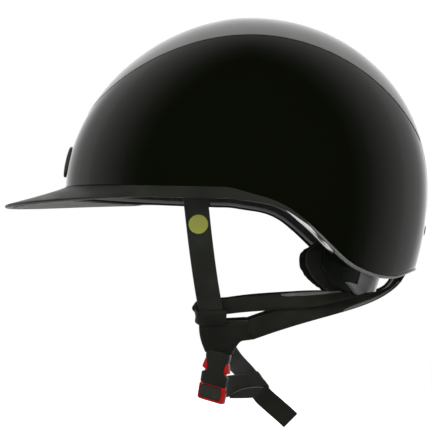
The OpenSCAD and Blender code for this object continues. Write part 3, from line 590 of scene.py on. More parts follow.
def edge_z(x):
    """Height of the shell's edge: nearly level, down behind the ear, and up a little at the
    nape. Between the straps it stands in a fuller arch than the plain solid's."""
    fall = EDGE_SLOPE * (x - WAIST_X + FRONT)
    arch = EAR_ARCH * step_up(x, *ARCH_RISE) * (1 - step_up(x, *ARCH_FALL))
    return (EDGE_FRONT_Z - fall - EAR_DROP * step_up(x, EAR_START, EAR_END)
            + NAPE_RISE * step_up(x, RISE_START, RISE_END) + arch)


def trim_height(x):
    """Band's height: full in front, slim over the ear, fuller behind it, then the lip's."""
    slim = mix(TRIM_FRONT, TRIM_EAR, step_up(x, *TRIM_SLIMS))
    return mix(mix(slim, TRIM_BEHIND, step_up(x, *TRIM_FILLS)), TRIM_NAPE, step_up(x, *TRIM_ENDS))


def edge_at(az, d=0.0):
    """Height of the edge of a layer drawn in by d, at azimuth az."""
    z = edge_z(WAIST_X + plan_radius(az, d) * np.cos(az))
    return edge_z(skin_at(az, z, d)[..., 0])


def foot_level(az, d, lift):
    """Elevation at which a layer ends, lift above the trim's lower edge."""
    x = WAIST_X + plan_radius(az, d) * np.cos(az) * FOOT_REACH
    return level(az, edge_at(az, d) - trim_height(x) + lift, d)


# Panel and shell

PANEL_FRONT, PANEL_REAR, PANEL_HALF, PANEL_POWER = 124.0, 130.0, 62.0, 2.6
TAIL_HALF, TAIL_END_Z, TAIL_INNER, TAIL_OUTER = 19.0, -10.0, 0.8, 1.25
TAIL_AZ = TAIL_HALF / REAR
CLOSE_UP = rad(0.018)
PANEL_UNDER, PANEL_INSET, UNDER_INSET = 0.9, 1.6, 1.35
SHELL_ROWS, RECESS_ROWS, PANEL_ROWS, UNDER_ROWS = 84, 14, 60, 12
SHELL_TOP, SEAM_CLEAR = rad(62), rad(0.22)
# Elevation in degrees past the seam and past the rim, and depth, where their edges are eased
EASED_SEAM = [(0.0, 1.2), (-0.03, 0.5), (-0.07, 0.16), (-0.14, 0.03)]
EASED_RIM = [(-0.07, 0.1), (-0.13, 0.5), (-0.13, 2.5)]
WALL_SHARES = np.array([0, .08, .18, .29, .4, .51, .62, .73, .84, .94])
# Inset and depth of the rings down the panel's edge, and of those round the dark ring that paints the seam's shade
PANEL_EDGE = [(1.37, 0.04), (1.27, 0.16), (1.25, 0.4), (1.25, PANEL_UNDER)]
SEAM_SHADE_RING = [(1.22, 1.0), (1.22, 0.36), (0.66, 0.3), (0.1, 0.36), (0.1, 1.0)]


def panel_level(az, inset):
    """Elevation of the panel's outline: half an ellipse in front, a fuller half behind,
    and a tail that runs down the back."""
    rear = np.cos(az) > 0
    reach = np.where(rear, PANEL_REAR, PANEL_FRONT) - inset
    n = np.where(rear, PANEL_POWER, 2.0)
    rho = ((np.abs(np.cos(az)) / reach) ** n + (np.abs(np.sin(az)) / (PANEL_HALF - inset)) ** n) ** (-1 / n)
    leaf = np.arccos(np.clip((rho / plan_radius(az)) ** (arch_power(az) / 2), 0, 1))
    off = np.where(rear, np.arcsin(np.abs(np.sin(az))), np.pi / 2)
    low = level(0.0, TAIL_END_Z + inset)
    edge = TAIL_AZ - rad(inset / 3)
    return leaf - (leaf - low) * (1 - step_up(off, edge * TAIL_INNER, edge * TAIL_OUTER))


# Azimuths of the shell's columns, closer together along the tail
tail_cols = np.linspace(0.72, 1.36, 27) * TAIL_AZ
around = np.unique(np.round(np.concatenate(
    [np.linspace(-np.pi, np.pi, 281)[:-1], tail_cols, -tail_cols]), 6))


def panel_rows(count, inset, depth):
    """Rings from the crown down to the panel's outline. Where the outline lies higher
    than the tail's end, the last rings close up just above it."""
    i = np.arange(1, count + 1)[:, None]
    low = level(0.0, TAIL_END_Z)
    t = np.maximum(mix(np.pi / 2, low, i / count), panel_level(around, inset)[None] + CLOSE_UP * (count - i))
    return skin(around[None], t, depth)


def outline_rows(steps):
    """Rings along the panel's outline, each at its own inset and depth."""
    return np.stack([skin(around, panel_level(around, inset), d) for inset, d in steps])


def make_shell():
    """Outer skin from the panel's seam to the edge, both edges eased, and the wall's inside."""
    seam = panel_level(around, 0)
    rim = level(around, edge_at(around))
    i = np.arange(SHELL_ROWS + 1)[:, None]
    outer = np.minimum(mix(SHELL_TOP, rim[None], i / SHELL_ROWS), seam[None] - CLOSE_UP * 1.2 * i - SEAM_CLEAR)
    wall_foot = level(around, edge_at(around, WALL), WALL)
    rows = [panel_rows(RECESS_ROWS, 0, RECESS), [skin(around, seam + rad(a), d) for a, d in EASED_SEAM],
            skin(around[None], outer, 0), [skin(around, rim + rad(a), d) for a, d in EASED_RIM],
            skin(around[None], mix(wall_foot[None], np.pi / 2, WALL_SHARES[:, None]), WALL)]
    bowl_piece("lacquered_shell", np.concatenate(rows), crown(RECESS), crown(WALL), "shell", "helmet", "shell",
               sharp=40)


def make_panel():
    """Satin panel with an eased edge, standing in the shell's recess."""
    under = panel_rows(UNDER_ROWS, UNDER_INSET, PANEL_UNDER)[::-1]
    rows = [panel_rows(PANEL_ROWS, PANEL_INSET, 0), outline_rows(PANEL_EDGE), under]
    bowl_piece("satin_panel", np.concatenate(rows), crown(0), crown(PANEL_UNDER), "panel", "helmet", "top_panel",
               sharp=60)


def make_seam():
    """Near-black, barely glossy ring that fills the gap between panel and shell and paints the groove's shade: a
    flat ring along the panel's outline.
    """
    ring_piece("panel_seam_shade", outline_rows(SEAM_SHADE_RING), "seam", "helmet", sharp=60)


# Peak, band and rear lip

PEAK_REACH, PEAK_DROOP, PEAK_SPAN, PEAK_EDGE = 45.1, 5.2, rad(53), 2.6
PEAK_POWER, PEAK_HOLLOW, NOSE_OUT, RIM_IN = 1.25, 0.84, 0.6, 0.5
LINING_SPAN, LINING_GAP, LINING_THICK = PEAK_SPAN * 0.86, 0.25, 0.4
LIP_SPAN, LIP_TALL = 58.0, 2.1


def peak_share(az):
    """How far the peak stands out: 1 at the front centre line, 0 past its span."""
    return np.maximum(0, 1 - ((np.pi - np.abs(az)) / PEAK_SPAN) ** 2) ** PEAK_POWER


def peak_top(az, s):
    """Upper side, s from 0 at the shell to 1 at the peak's edge."""
    k = peak_share(az)
    x = skin_at(az, edge_at(az))[..., 0]
    top = edge_at(az) - GAP
    low = top - trim_height(x) + GAP - PEAK_DROOP * k * k
    return skin_at(az, mix(top, low, s ** mix(1, PEAK_HOLLOW, k)), -PEAK_REACH * k * s)


def peak_under(az, s, drop=0.0):
    """Underside, s from 0 inside the shell to 1 at the peak's edge, lowered by drop."""
    k = peak_share(az)
    x = skin_at(az, edge_at(az))[..., 0]
    foot = edge_at(az) - trim_height(x)
    low = foot - PEAK_DROOP * k * k - PEAK_EDGE * k
    return skin_at(az, mix(foot, low, s) - drop, mix(WALL, RIM_IN - PEAK_REACH * k, s))


def off_front(half, count):
    """Azimuths from one side of the front centre line to the other."""
    a = np.linspace(-half, half, count)
    return np.where(a < 0, -np.pi - a, np.pi - a)


def make_peak():
    """Band and peak as one loft: the section's corners are cut round at every step."""
    a = off_front(rad(180 - LIP_SPAN), 261)
    k = peak_share(a)
    tip = peak_top(a, 1.0)
    nose = skin_at(a, tip[:, 2] - PEAK_EDGE * k * 0.5, -0.4 - (PEAK_REACH + NOSE_OUT) * k)
    inner = skin_at(a, edge_at(a, WALL) - GAP, WALL)
    section = [inner, *(peak_top(a, s) for s in (0.0, 0.0, 0.06, 0.25, 0.5, 0.75, 0.93)), tip, nose,
               *(peak_under(a, s) for s in (1.0, 0.9, 0.6, 0.3, 0.06, 0.0, 0.0))]
    loft_piece("peak_and_band", rounded(np.stack(section, 1), 2), "trim", "helmet", "peak")


def make_lining():
    """Cloth under the peak: a thin slab between two copies of the underside."""
    a = off_front(LINING_SPAN, 121)
    s = np.linspace(0.05, 0.9, 14)
    thick = LINING_THICK * np.minimum(1, 10 * np.minimum(s - 0.04, 0.92 - s)) ** 0.5
    upper = np.stack([peak_under(a, v, LINING_GAP) for v in s], 1)
    lower = np.stack([peak_under(a, v, 0.3 + t) for v, t in zip(s, thick)], 1)
    loft_piece("brim_lining", np.concatenate([upper, lower[:, ::-1]], 1), "lining", "helmet", "peak_lining",
               sharp=60)


def make_rear_lip():
    """Bead that closes the shell's edge round the back, with a rounded outer side. Its pale grey is partly the lip's
    own grey and partly painted highlight along the edge.
    """
    az = rad(np.linspace(-LIP_SPAN + 0.2, LIP_SPAN - 0.2, 161))
    z = edge_at(az) - GAP
    # Share of the lip's height, extra drop, and depth
    steps = ((1, 0, WALL), (1, 0.1, 1.6), (1, 0, 0.4), (0.6, 0, -0.5), (0.15, 0, -0.3), (0, 0, 0.6))
    section = [skin_at(az, edge_at(az, WALL) - GAP, WALL),
               *(skin_at(az, z - LIP_TALL * share - sunk, d) for share, sunk, d in steps)]
    loft_piece("rear_lip", rounded(np.stack(section, 1), 2), "lip", "helmet", "rear_lip")


# Painted reflection behind the ear: pale glossy strands paint the bright line along the shell's edge,
# and a dark strand paints the dark line inside it. Each strand has its proudness and finish, then rows of
# distance along the helmet, drop below the shell's edge and half height.
REFLECTION_STRANDS = {
    # The rim strand in the lip's pale grey is painted highlight under the shell's edge
    "rim": (0, "lip", [(44, 1.0, 0.15), (48, 1.3, 0.6), (52, 1.5, 1.0), (58, 1.5, 1.2), (64, 1.4, 1.1),
                       (70, 1.3, 0.9)]),
    "edge": (0, "painted_reflection", [(29, 3.4, 0.12), (33, 3.9, 0.65), (38.5, 4.1, 1.15), (42, 4.0, 1.4),
                           (45.6, 3.9, 1.75), (49.5, 4.3, 1.5), (52, 4.9, 0.9), (54, 5.0, 0.9),
                           (56.5, 4.6, 1.5), (59, 4.2, 1.6), (62, 3.9, 0.6), (63, 3.8, 0.12)]),
    "dark_line": (0.75, "trim", [(46, 4.2, 0.08), (49, 4.5, 0.32), (53, 5.0, 0.4), (56.5, 4.8, 0.36),
                            (59.5, 4.2, 0.08)]),
}


def make_painted_edge_reflection(side, s):
    """Painted reflection behind the ear: two pale glossy beads along the band, an oval section that follows the
    shell's edge at its own drop and height. They part round a dark strand, which paints the dark line in the
    reflection, and close again."""
    grid = rad(-np.linspace(95, 45, 201))
    reach = skin_at(grid, edge_at(grid))[:, 0]
    turn = full_turn(20)[None, :]
    for name, (proud, finish, strand) in REFLECTION_STRANDS.items():
        along, drop, half = np.array(strand).T
        x = np.linspace(along[0], along[-1], 90)
        az = np.interp(x, reach, grid)[:, None]
        tall = np.interp(x, along, half)[:, None]
        z = edge_at(az) - np.interp(x, along, drop)[:, None] + tall * np.cos(turn)
        points = skin_at(az, z, 0.2 - proud - (0.25 + 0.5 * tall) * np.sin(turn)) * [1, s, 1]
        loft_piece(f"{name}_piping_{side}", points, finish, "helmet", sharp=ALL_SMOOTH)


# Liner and slip layer

layer_cols = np.linspace(-np.pi, np.pi, 241)[:-1]
CHANNEL_EVERY, CHANNEL_DEPTH, CHANNEL_WIDTH = rad(30), 3.2, 0.09
FOAM_ROLL = 1.4
# Shares of the way in along the foam's rim, by elevation and by depth
FOAM_RIM = [(0.15, 0.12), (0.4, 0.4), (0.65, 0.7), (0.9, 0.94)]
SLIP_FOOT, SLIP_FOOT_LEAST, SLIP_LOBES, SLIP_LOBE = 9, rad(2), 6, rad(4)


def make_foam():
    """Moulded foam: the outside follows the shell, the inside is the same skin further in,
    with shallow lengthwise air channels."""
    az = layer_cols
    outer_foot, inner_foot = foot_level(az, FOAM_OUT, FOAM_LIFT_OUT), foot_level(az, FOAM_IN, FOAM_LIFT_IN)
    down, up = np.linspace(0.06, 1, 30)[:, None], np.linspace(0, 0.96, 34)[:, None]
    outer = skin(az[None], mix(np.pi / 2, outer_foot[None], down), FOAM_OUT)
    rim = [skin(az, mix(outer_foot, inner_foot, f), mix(FOAM_OUT, FOAM_IN, g))
           - [0, 0, FOAM_ROLL * math.sin(math.pi * g)] for f, g in FOAM_RIM]
    groove = bell(np.mod(az / CHANNEL_EVERY + 0.5, 1) - 0.5, CHANNEL_WIDTH)[None]
    groove = groove * np.sin(np.pi * np.clip(up * 1.15, 0, 1))
    inner = skin(az[None], mix(inner_foot[None], np.pi / 2, up), FOAM_IN - CHANNEL_DEPTH * groove)
    bowl_piece("foam_liner", np.concatenate([outer, rim, inner]), crown(FOAM_OUT), crown(FOAM_IN), "foam",
               "helmet", "foam_liner")


def make_slip():
    """Thin cap with a lobed lower edge."""
    az = layer_cols
    foot = np.maximum(level(az, WAIST_Z + SLIP_FOOT, SLIP_OUT), SLIP_FOOT_LEAST)
    foot = foot + SLIP_LOBE * (1 - np.cos(SLIP_LOBES * az))
    down = np.linspace(0.05, 1, 26)[:, None]
    outer = skin(az[None], mix(np.pi / 2, foot[None], down), SLIP_OUT)
    inner = skin(az[None], mix(np.pi / 2, foot[None] + rad(0.1), down[::-1]), SLIP_IN)
    bowl_piece("slip_cap", np.concatenate([outer, inner]), crown(SLIP_OUT), crown(SLIP_IN), "slip", "slip",
               "slip_layer", sharp=60)


# Pads

VOXEL, CALM_STEPS, SWELL_FRAMES = 0.003, 6, 20
CLOTH_QUALITY, CLOTH_MASS, CLOTH_STIFFNESS, PRESSURE = 6, 0.15, 12, 4.0
HELD_DEPTH = 1.4
PAD_THICK, PAD_BORDER, PAD_SWELL, PAD_FILL = 7.0, 3.0, 2.2, 0.55
NAPE_SWELL, NAPE_FILL = 1.2, 0.6
SEAM_START, SEAM_FULL, PAD_SEAM, NAPE_SEAM, SEAM_WIDTH = 1.5, 4, 2.4, 2.5, 1.3


def as_mesh(piece):
    """Mesh of a piece after its modifiers."""
    return bpy.data.meshes.new_from_object(piece.evaluated_get(bpy.context.evaluated_depsgraph_get()))


def swell(piece, back, cap):
    """Cloth pass: voxel remesh, swell under pressure with the back held, then cap the moves."""
    scene, mesh = bpy.context.scene, piece.data
    remesh = piece.modifiers.new("remesh", "REMESH")
    remesh.mode, remesh.voxel_size = "VOXEL", VOXEL
    calm = piece.modifiers.new("calm", "SMOOTH")
    calm.factor, calm.iterations = 0.5, CALM_STEPS
    base = as_mesh(piece)
    piece.modifiers.clear()
    piece.data = base
    start = read_points(base)
    held = piece.vertex_groups.new(name="held")
    held.add(np.nonzero(depth_of(start / MM) < back + HELD_DEPTH)[0].tolist(), 1.0, "REPLACE")
    cloth = piece.modifiers.new("cloth", "CLOTH")
    settings = cloth.settings
    settings.quality, settings.mass = CLOTH_QUALITY, CLOTH_MASS
    settings.tension_stiffness = settings.compression_stiffness = CLOTH_STIFFNESS
    settings.use_pressure, settings.uniform_pressure_force = True, PRESSURE
    settings.vertex_group_mass = "held"
    settings.effector_weights.gravity = 0
    cloth.collision_settings.use_collision = False
    cloth.point_cache.frame_start, cloth.point_cache.frame_end = 1, SWELL_FRAMES
    for f in range(1, SWELL_FRAMES + 1):
        scene.frame_set(f)
    move = read_points(as_mesh(piece)) - start
    size = np.linalg.norm(move, axis=1, keepdims=True)
    move *= np.minimum(1, cap * MM / np.maximum(size, 1e-9))
    piece.modifiers.clear()
    piece.vertex_groups.clear()
    base.vertices.foreach_set("co", (start + move).ravel())
    base.update()
    scene.frame_set(1)
    if not base.materials:
        base.materials.append(mesh.materials[0])


def finish_pad(pad, back, seam, depth, cap=PAD_SWELL):
    """Swells a cushion and pulls its face in along the seams, where seam gives 1, by depth.
    One live subdivision, the same in view and render, softens it."""
    swell(pad, back, cap)
    mesh = pad.data
    points, normals = read_points(mesh), read_points(mesh, "normal")
    face = step_up(depth_of(points / MM), back + SEAM_START, back + SEAM_FULL)
    points = points - normals * (face * seam(points / MM) * depth * MM)[:, None]
    mesh.vertices.foreach_set("co", points.ravel())
    mesh.update()
    sub = pad.modifiers.new("soften", "SUBSURF")
    sub.levels = sub.render_levels = 1
    smooth_faces(mesh)
    mesh.update()


# Name, node, first and last azimuth, first and last elevation in degrees, and sewn channels
PADS = [("brow_cushion", "brow_pad", 120, 240, 5, 24, 6),
        ("side_cushion_left", "side_pad_left", -112, -58, 5, 28, 3),
        ("side_cushion_right", "side_pad_right", 58, 112, 5, 28, 3),
        ("rear_cushion", "rear_pad", -50, 50, 6, 26, 4)]


def make_pad(name, node, a0, a1, t0, t1, channels):
    """Closed cushion: a back on the slip layer and a face crowned both ways and drawn in
    towards its ends."""
    u, v = shares(40)[:, None], shares(14)[None, :]
    tall = 0.5 * (1 - np.abs(2 * u - 1) ** 6) ** 0.5 + 0.02
    bulge = (1 - np.abs(2 * u - 1) ** 5) ** 0.5 * (1 - np.abs(2 * v - 1) ** 3) ** 0.5
    az = rad(mix(a0, a1, u))
    t = rad(mix(t0, t1, 0.5 + (v - 0.5) * 2 * tall))
    face = skin(az, t, PAD_OUT + PAD_BORDER + (PAD_THICK - 3.8) * bulge)
    pad = loft_piece(name, np.concatenate([skin(az, t, PAD_OUT), face[:, ::-1]], 1), "padding", "slip", node,
                     sharp=ALL_SMOOTH)

    def channel(p):
        at = (degrees_round(p) % 360 - a0 % 360) % 360 / (a1 - a0)
        return bell(np.abs(np.mod(at * channels + 0.5, 1) - 0.5) / channels * (a1 - a0), SEAM_WIDTH)

    finish_pad(pad, PAD_OUT, channel, PAD_SEAM)


CROWN_SPAN, CROWN_MEAN, CROWN_LOBE, CROWN_TOP = rad(33), 0.86, 0.14, PAD_OUT + PAD_THICK
# Share of the crown pad's reach, and depth
CROWN_STEPS = [(0.3, PAD_OUT), (0.7, PAD_OUT), (0.98, PAD_OUT), (1, PAD_OUT + 0.5), (1, PAD_OUT + 3.2),
               (0.96, mix(PAD_OUT, CROWN_TOP, 0.72)), (0.82, CROWN_TOP - 0.9), (0.6, CROWN_TOP - 0.6),
               (0.4, CROWN_TOP - 0.6), (0.2, CROWN_TOP - 0.6)]
RING_X, RING_Y, RING_AT, RING_WIDTH = 52, 42, 0.52, 0.035


def make_crown_pad():
    """Four-lobed cushion under the crown, with a sewn ring round its middle."""
    az = np.linspace(-np.pi, np.pi, 97)[:-1]
    wave = CROWN_MEAN + CROWN_LOBE * np.cos(4 * az)
    rows = [skin(az, np.pi / 2 - CROWN_SPAN * f * wave, d) for f, d in CROWN_STEPS]
    pad = bowl_piece("crown_cushion", rows, crown(PAD_OUT), crown(CROWN_TOP - 0.6), "padding", "slip",
                     "crown_pad", sharp=ALL_SMOOTH)

    def ring(p):
        return bell(np.hypot((p[:, 0] - WAIST_X) / RING_X, p[:, 1] / RING_Y) - RING_AT, RING_WIDTH)

    finish_pad(pad, PAD_OUT, ring, PAD_SEAM)


# Nape cradle

CRADLE_SPAN, CRADLE_LOW_Z, CRADLE_TOP_Z = 52.0, -71.5, -24.0
CRADLE_END_RISE, CRADLE_END_FALL = 21.5, 13
NAPE_CHANNEL = 17
NAPE_SPAN, NAPE_MID_Z, NAPE_TALL, NAPE_DROP, NAPE_THICK = 60.0, -47.5, 23.5, 0.16, 4.2


def make_cradle():
    """Plastic shell round the nape: a slab of the skin with a rolled lower edge and shallow ribs."""
    u, v = np.linspace(-1, 1, 121)[:, None], shares(21)[None, :]
    ends = np.abs(u) ** 6
    z = mix(CRADLE_LOW_Z + CRADLE_END_RISE * ends, CRADLE_TOP_Z - CRADLE_END_FALL * ends, v)
    az = rad(CRADLE_SPAN * u)
    roll = bell(v, 0.05) - 1.6 * step_up(v, 0.86, 1)
    rib = 0.5 * bell(np.abs(v - 0.5) - 0.22, 0.03) * (np.abs(u) < 0.8)
    outer = skin_at(az, z, CRADLE_OUT - 0.5 * roll - rib)
    inner = skin_at(az, z, CRADLE_IN)
    loft_piece("nape_cradle", rounded(np.concatenate([outer, inner[:, ::-1]], 1), 1), "cradle", "cradle",
               "nape_cradle", sharp=50)


def make_nape_pad():
    """Cushioned cover inside the cradle: a full oval section carried round the nape, its
    height closing to a round end past each end of the cradle."""
    u = np.sin(np.linspace(-np.pi / 2, np.pi / 2, 81)[1:-1])[:, None]
    c, s = circle(40)
    share = (1 - np.abs(u) ** 5.2) ** (1 / 1.35)
    low = np.where(c < 0, 1 + NAPE_DROP * (1 - np.abs(u) ** 2.5), 1)
    z = NAPE_MID_Z + 3.5 * np.abs(u) ** 6 + NAPE_TALL * low * share * bend(c, 0.8)
    depth = NAPE_OUT + 4.4 + NAPE_THICK * np.minimum(1, 2.2 * share) ** 0.5 * bend(s, 0.7)
    pad = loft_piece("nape_cushion", skin_at(rad(NAPE_SPAN * u), z, depth), "nape_cover", "cradle", "nape_pad",
                     sharp=ALL_SMOOTH)
    finish_pad(pad, NAPE_OUT, lambda p: bell(np.abs(degrees_round(p)) - NAPE_CHANNEL, SEAM_WIDTH), NAPE_SEAM,
               NAPE_SWELL)


def outline_plate(name, node, outline, radii, proud, side, s):
    """Plate laid on the cradle inside an outline of azimuth in degrees and height: rings drawn
    in to its middle, the rim rounded on the outside."""
    rim = even(round_corners(np.array(outline) * [1.5, 1], radii), 96) / [1.5, 1]
    middle = rim.mean(0)
    outer, inner = CRADLE_OUT - proud, CRADLE_OUT - 0.2
    # Share of the outline, and depth under the plate's face, or None on its inner side
    steps = [(0.3, 0), (0.7, 0), (0.93, 0), (0.975, 0.09), (0.995, 0.3), (1, 0.6), (1, None), (0.4, None)]

    def ring(share, depth):
        at = middle + (rim - middle) * share
        return skin_at(rad(-at[:, 0]), at[:, 1], depth) * [1, s, 1]

    def pole(depth):
        return skin_at(rad(-middle[0]), middle[1], depth) * [1, s, 1]

    rows = [ring(share, inner if sunk is None else outer + sunk) for share, sunk in steps]
    bowl_piece(f"{name}_{side}", rows, pole(outer), pole(inner), "tab", "cradle", node)


TAB_OUTLINE = [(29.6, -52.0), (17.6, -55.6), (18.6, -68.2), (23.4, -70.9), (30.4, -64.2)]
TAB_RADII = [1.4, 1.4, 1.6, 1.2, 1.0]
FLANGE_OUTLINE = [(38.6, -61.0), (32.0, -63.0), (24.4, -70.2), (24.8, -71.6), (28.6, -72.0)]
FLANGE_RADII = [1, 2, 0.6, 0.5, 1]


def make_tab(side, s):
    """Stiff tab on the cradle's outside, with a flange along its lower front edge."""
    outline_plate("cradle_tab_flange", None, FLANGE_OUTLINE, FLANGE_RADII, 3.0, side, s)
    outline_plate("cradle_tab_plate", f"cradle_tab_{side}", TAB_OUTLINE, TAB_RADII, 1.9, side, s)


# Straps


def frames(points, wides):
    """Direction, width direction and face normal along a path."""
    along = unit(np.gradient(points, axis=0))
    flat = unit(wides - along * (wides * along).sum(-1, keepdims=True))
    return along, flat, np.cross(along, flat)


def strap_sections(points, wides, width, thick, power=9.0, hem=0.0, arch=0.0):
    """Flat strap carried along a path. Its section is a flattened superellipse, thinner
    along a stitched line near each edge by hem, and arched up in the middle."""
    _, flat, normal = frames(points, wides)
    across = np.sin(np.linspace(-np.pi / 2, np.pi / 2, 25))
    half = (1 - np.abs(across) ** power) ** (1 / 2.2) * thick / 2
    half = half * (1 - hem * bell(np.abs(across) - HEM_AT, HEM_WIDTH)) + arch * (1 - across**2)
    x = np.concatenate([across, across[::-1]]) * width / 2
    y = np.concatenate([half, -half[::-1]])
    sections = points[:, None] + flat[:, None] * x[None, :, None] + normal[:, None] * y[None, :, None]
    uv = np.stack(np.broadcast_arrays(x[None], run_along(points)[:, None]), -1)
    return sections, uv


def make_strap(name, node, points, wides, width, thick, body="helmet", finish="strap", **shape):
    sections, uv = strap_sections(points, wides, width, thick, **shape)
    loft_piece(name, sections, finish, body, node, uv=uv, sharp=50)


HIGHLIGHT_BASE, HIGHLIGHT_SUNK = 0.75, 0.5


def edge_highlight_strip(name, points, wides, low, high, s, body="helmet"):
    """Painted highlight along a strap's edge: a thin, pale, crowned strip on the outer face,
    between two distances across the strap."""
    _, flat, normal = frames(points, wides)
    normal = normal * np.sign(-s * normal[:, 1:2])
    v = shares(9)
    middle = points[:, None] + flat[:, None] * mix(low[:, None], high[:, None], v)[..., None]
    rise = (0.16 + 0.3 * np.sqrt(np.maximum(0, 1 - np.abs(2 * v - 1) ** 3)))[None, :, None]
    upper = middle + normal[:, None] * (HIGHLIGHT_BASE + rise)
    under = middle + normal[:, None] * (HIGHLIGHT_BASE - HIGHLIGHT_SUNK)
    loft_piece(name, np.concatenate([upper, under[:, ::-1]], 1), "painted_highlight_strip", body, sharp=60)


STITCH_RADIUS, STITCH_SHARE, STITCH_SAG = 0.28, 0.34, 0.12
BOTH_EDGES = ((1, 1), (-1, 1), (1, -1), (-1, -1))


def stitches(name, points, wides, offset, lift, pitch=3.4, rows=BOTH_EDGES):
    """Rows of thread stitches along a path, each row on a side and a face of the strap. A
    stitch is a closed capsule of six sides, sunk at its ends."""
    run = run_along(points)
    at = np.arange(pitch, run[-1] - pitch, pitch)
    dense = read_off(at, run, points)
    along, flat, normal = frames(dense, read_off(at, run, wides))
    ring = full_turn(6)
    s = np.array([-1, -0.8, 0, 0.8, 1])[:, None]
    r = np.array([0.3, 0.9, 1, 0.9, 0.3])[:, None] * STITCH_RADIUS
    local = np.stack([s * pitch * STITCH_SHARE + 0 * ring, r * np.cos(ring), r * np.sin(ring) - STITCH_SAG * s**2],
                     -1).reshape(-1, 3)
    base = np.stack([along, flat, normal], 1)
    capsules = np.concatenate([(dense + flat * side * offset + normal * face * lift)[:, None]
                               + np.einsum("pk,nkc->npc", local * [1, face, face], base)
                               for side, face in rows]).reshape(-1, 3)
    first = len(local) * np.arange(len(capsules) // len(local))[:, None, None]
    faces = (np.array(quads(5, 6))[None] + first).reshape(-1, 4).tolist()
    caps = np.array([[5, 4, 3, 2, 1, 0], [24, 25, 26, 27, 28, 29]])
    faces += (caps[None] + first).reshape(-1, 6).tolist()
    add_mesh(name, capsules, faces, "thread", "helmet", sharp=ALL_SMOOTH)


# Harness

STRAP_T, WEB_T, YOKE_T = 2.4, 1.6, 3.4
FRONT_W, REAR_W, NAPE_W, LOOP_W, CHIN_W = 17.5, 14.2, 11.6, 15.5, 14.4
STRAP_HANG, HEM_AT, HEM_WIDTH, HEM = 2.75, 0.8, 0.06, 0.3
SOCKET_AT = np.array([-21.8, -52.0, -135.1])
BUCKLE_TILT, BUCKLE_YAW, BUCKLE_SLANT, SOCKET_L = rad(9.6), rad(-16), 0.1, 24.0
BUCKLE_UP = np.array([math.sin(BUCKLE_TILT), 0, math.cos(BUCKLE_TILT)])
BUCKLE_OUT = -np.array([-math.sin(BUCKLE_YAW) * math.cos(BUCKLE_TILT), math.cos(BUCKLE_YAW),
                        math.sin(BUCKLE_YAW) * math.sin(BUCKLE_TILT)])
BUCKLE_AXES = np.array([np.cross(-BUCKLE_OUT, BUCKLE_UP) - BUCKLE_SLANT * BUCKLE_UP, -BUCKLE_OUT, BUCKLE_UP])
YOKE_LEAN = rad(16)
YOKE_AT = SOCKET_AT + BUCKLE_UP * SOCKET_L + [0, 0, GAP + YOKE_T / 2 * math.sin(YOKE_LEAN)]
KEEPER_AT, KEEPER_SKEW = np.array([9.3, -2.0, -139.0]), 0.5
WEB_DIR = unit([6.5, -12, -8.2])
WEB_WIDE = unit([0.75, 0.05, 0.62])


def strap_anchor(az, share):
    """Where a strap hangs under the foam, at a share of the way from its outside to its inside."""
    d = mix(FOAM_OUT, FOAM_IN, share)
    return skin(rad(az), foot_level(rad(az), d, FOAM_LIFT_OUT), d) - [0, 0, STRAP_HANG]


def on_yoke(x, up, out=0.0):
    """Point of the left yoke's plane, out towards its face."""
    s, c = math.sin(YOKE_LEAN), math.cos(YOKE_LEAN)
    x, up, out = np.broadcast_arrays(x, up, out)
    return YOKE_AT + np.stack([x, -up * s - out * c, up * c - out * s], -1)


def in_buckle(local):
    """From the buckle's own frame, x across, y to the back and z up its axis."""
    return SOCKET_AT + np.asarray(local) @ BUCKLE_AXES


FRONT_ANCHOR, REAR_ANCHOR = strap_anchor(-115, 0.72), strap_anchor(-14, 0.3)
YOKE_TOP, YOKE_TAB = on_yoke(-4.5, 21.8), on_yoke(24.8, 16.1)
FRONT_ROUTE = [FRONT_ANCHOR, FRONT_ANCHOR + [3, 3, -28], YOKE_TOP + [-6, -10, 28], YOKE_TOP]
REAR_ROUTE = [REAR_ANCHOR, REAR_ANCHOR + [-9, -4, -18], YOKE_TAB + [72, -8, 26], YOKE_TAB]


def past_ends(points, head, tail=0.0):
    """Carries a path on in its own direction past its first point, and past its last one."""
    first = points[:1] - unit(points[1:2] - points[:1]) * head
    last = points[-1:] + unit(points[-1:] - points[-2:-1]) * tail
    return np.concatenate([first, points] + [last] * (tail > 0))


def both_sides(*makers):
    """Makes each piece on the wearer's left, then its mirror image on the right."""
    for make in makers:
        make("left", 1)
        make("right", -1)


def make_front_strap(side, s):
    path = past_ends(cubic(FRONT_ROUTE, shares(61)), 2.2, 4.0) * [1, s, 1]
    wide = np.tile([1, 0, 0.15], (len(path), 1)) * s
    make_strap(f"front_strap_leather_{side}", f"front_strap_{side}", path, wide, FRONT_W, STRAP_T,
               finish="front_strap", hem=HEM, arch=0.35)
    stitches(f"front_strap_thread_{side}", path[2:-4], wide[2:-4], FRONT_W / 2 * HEM_AT, STRAP_T / 2 - 0.22)


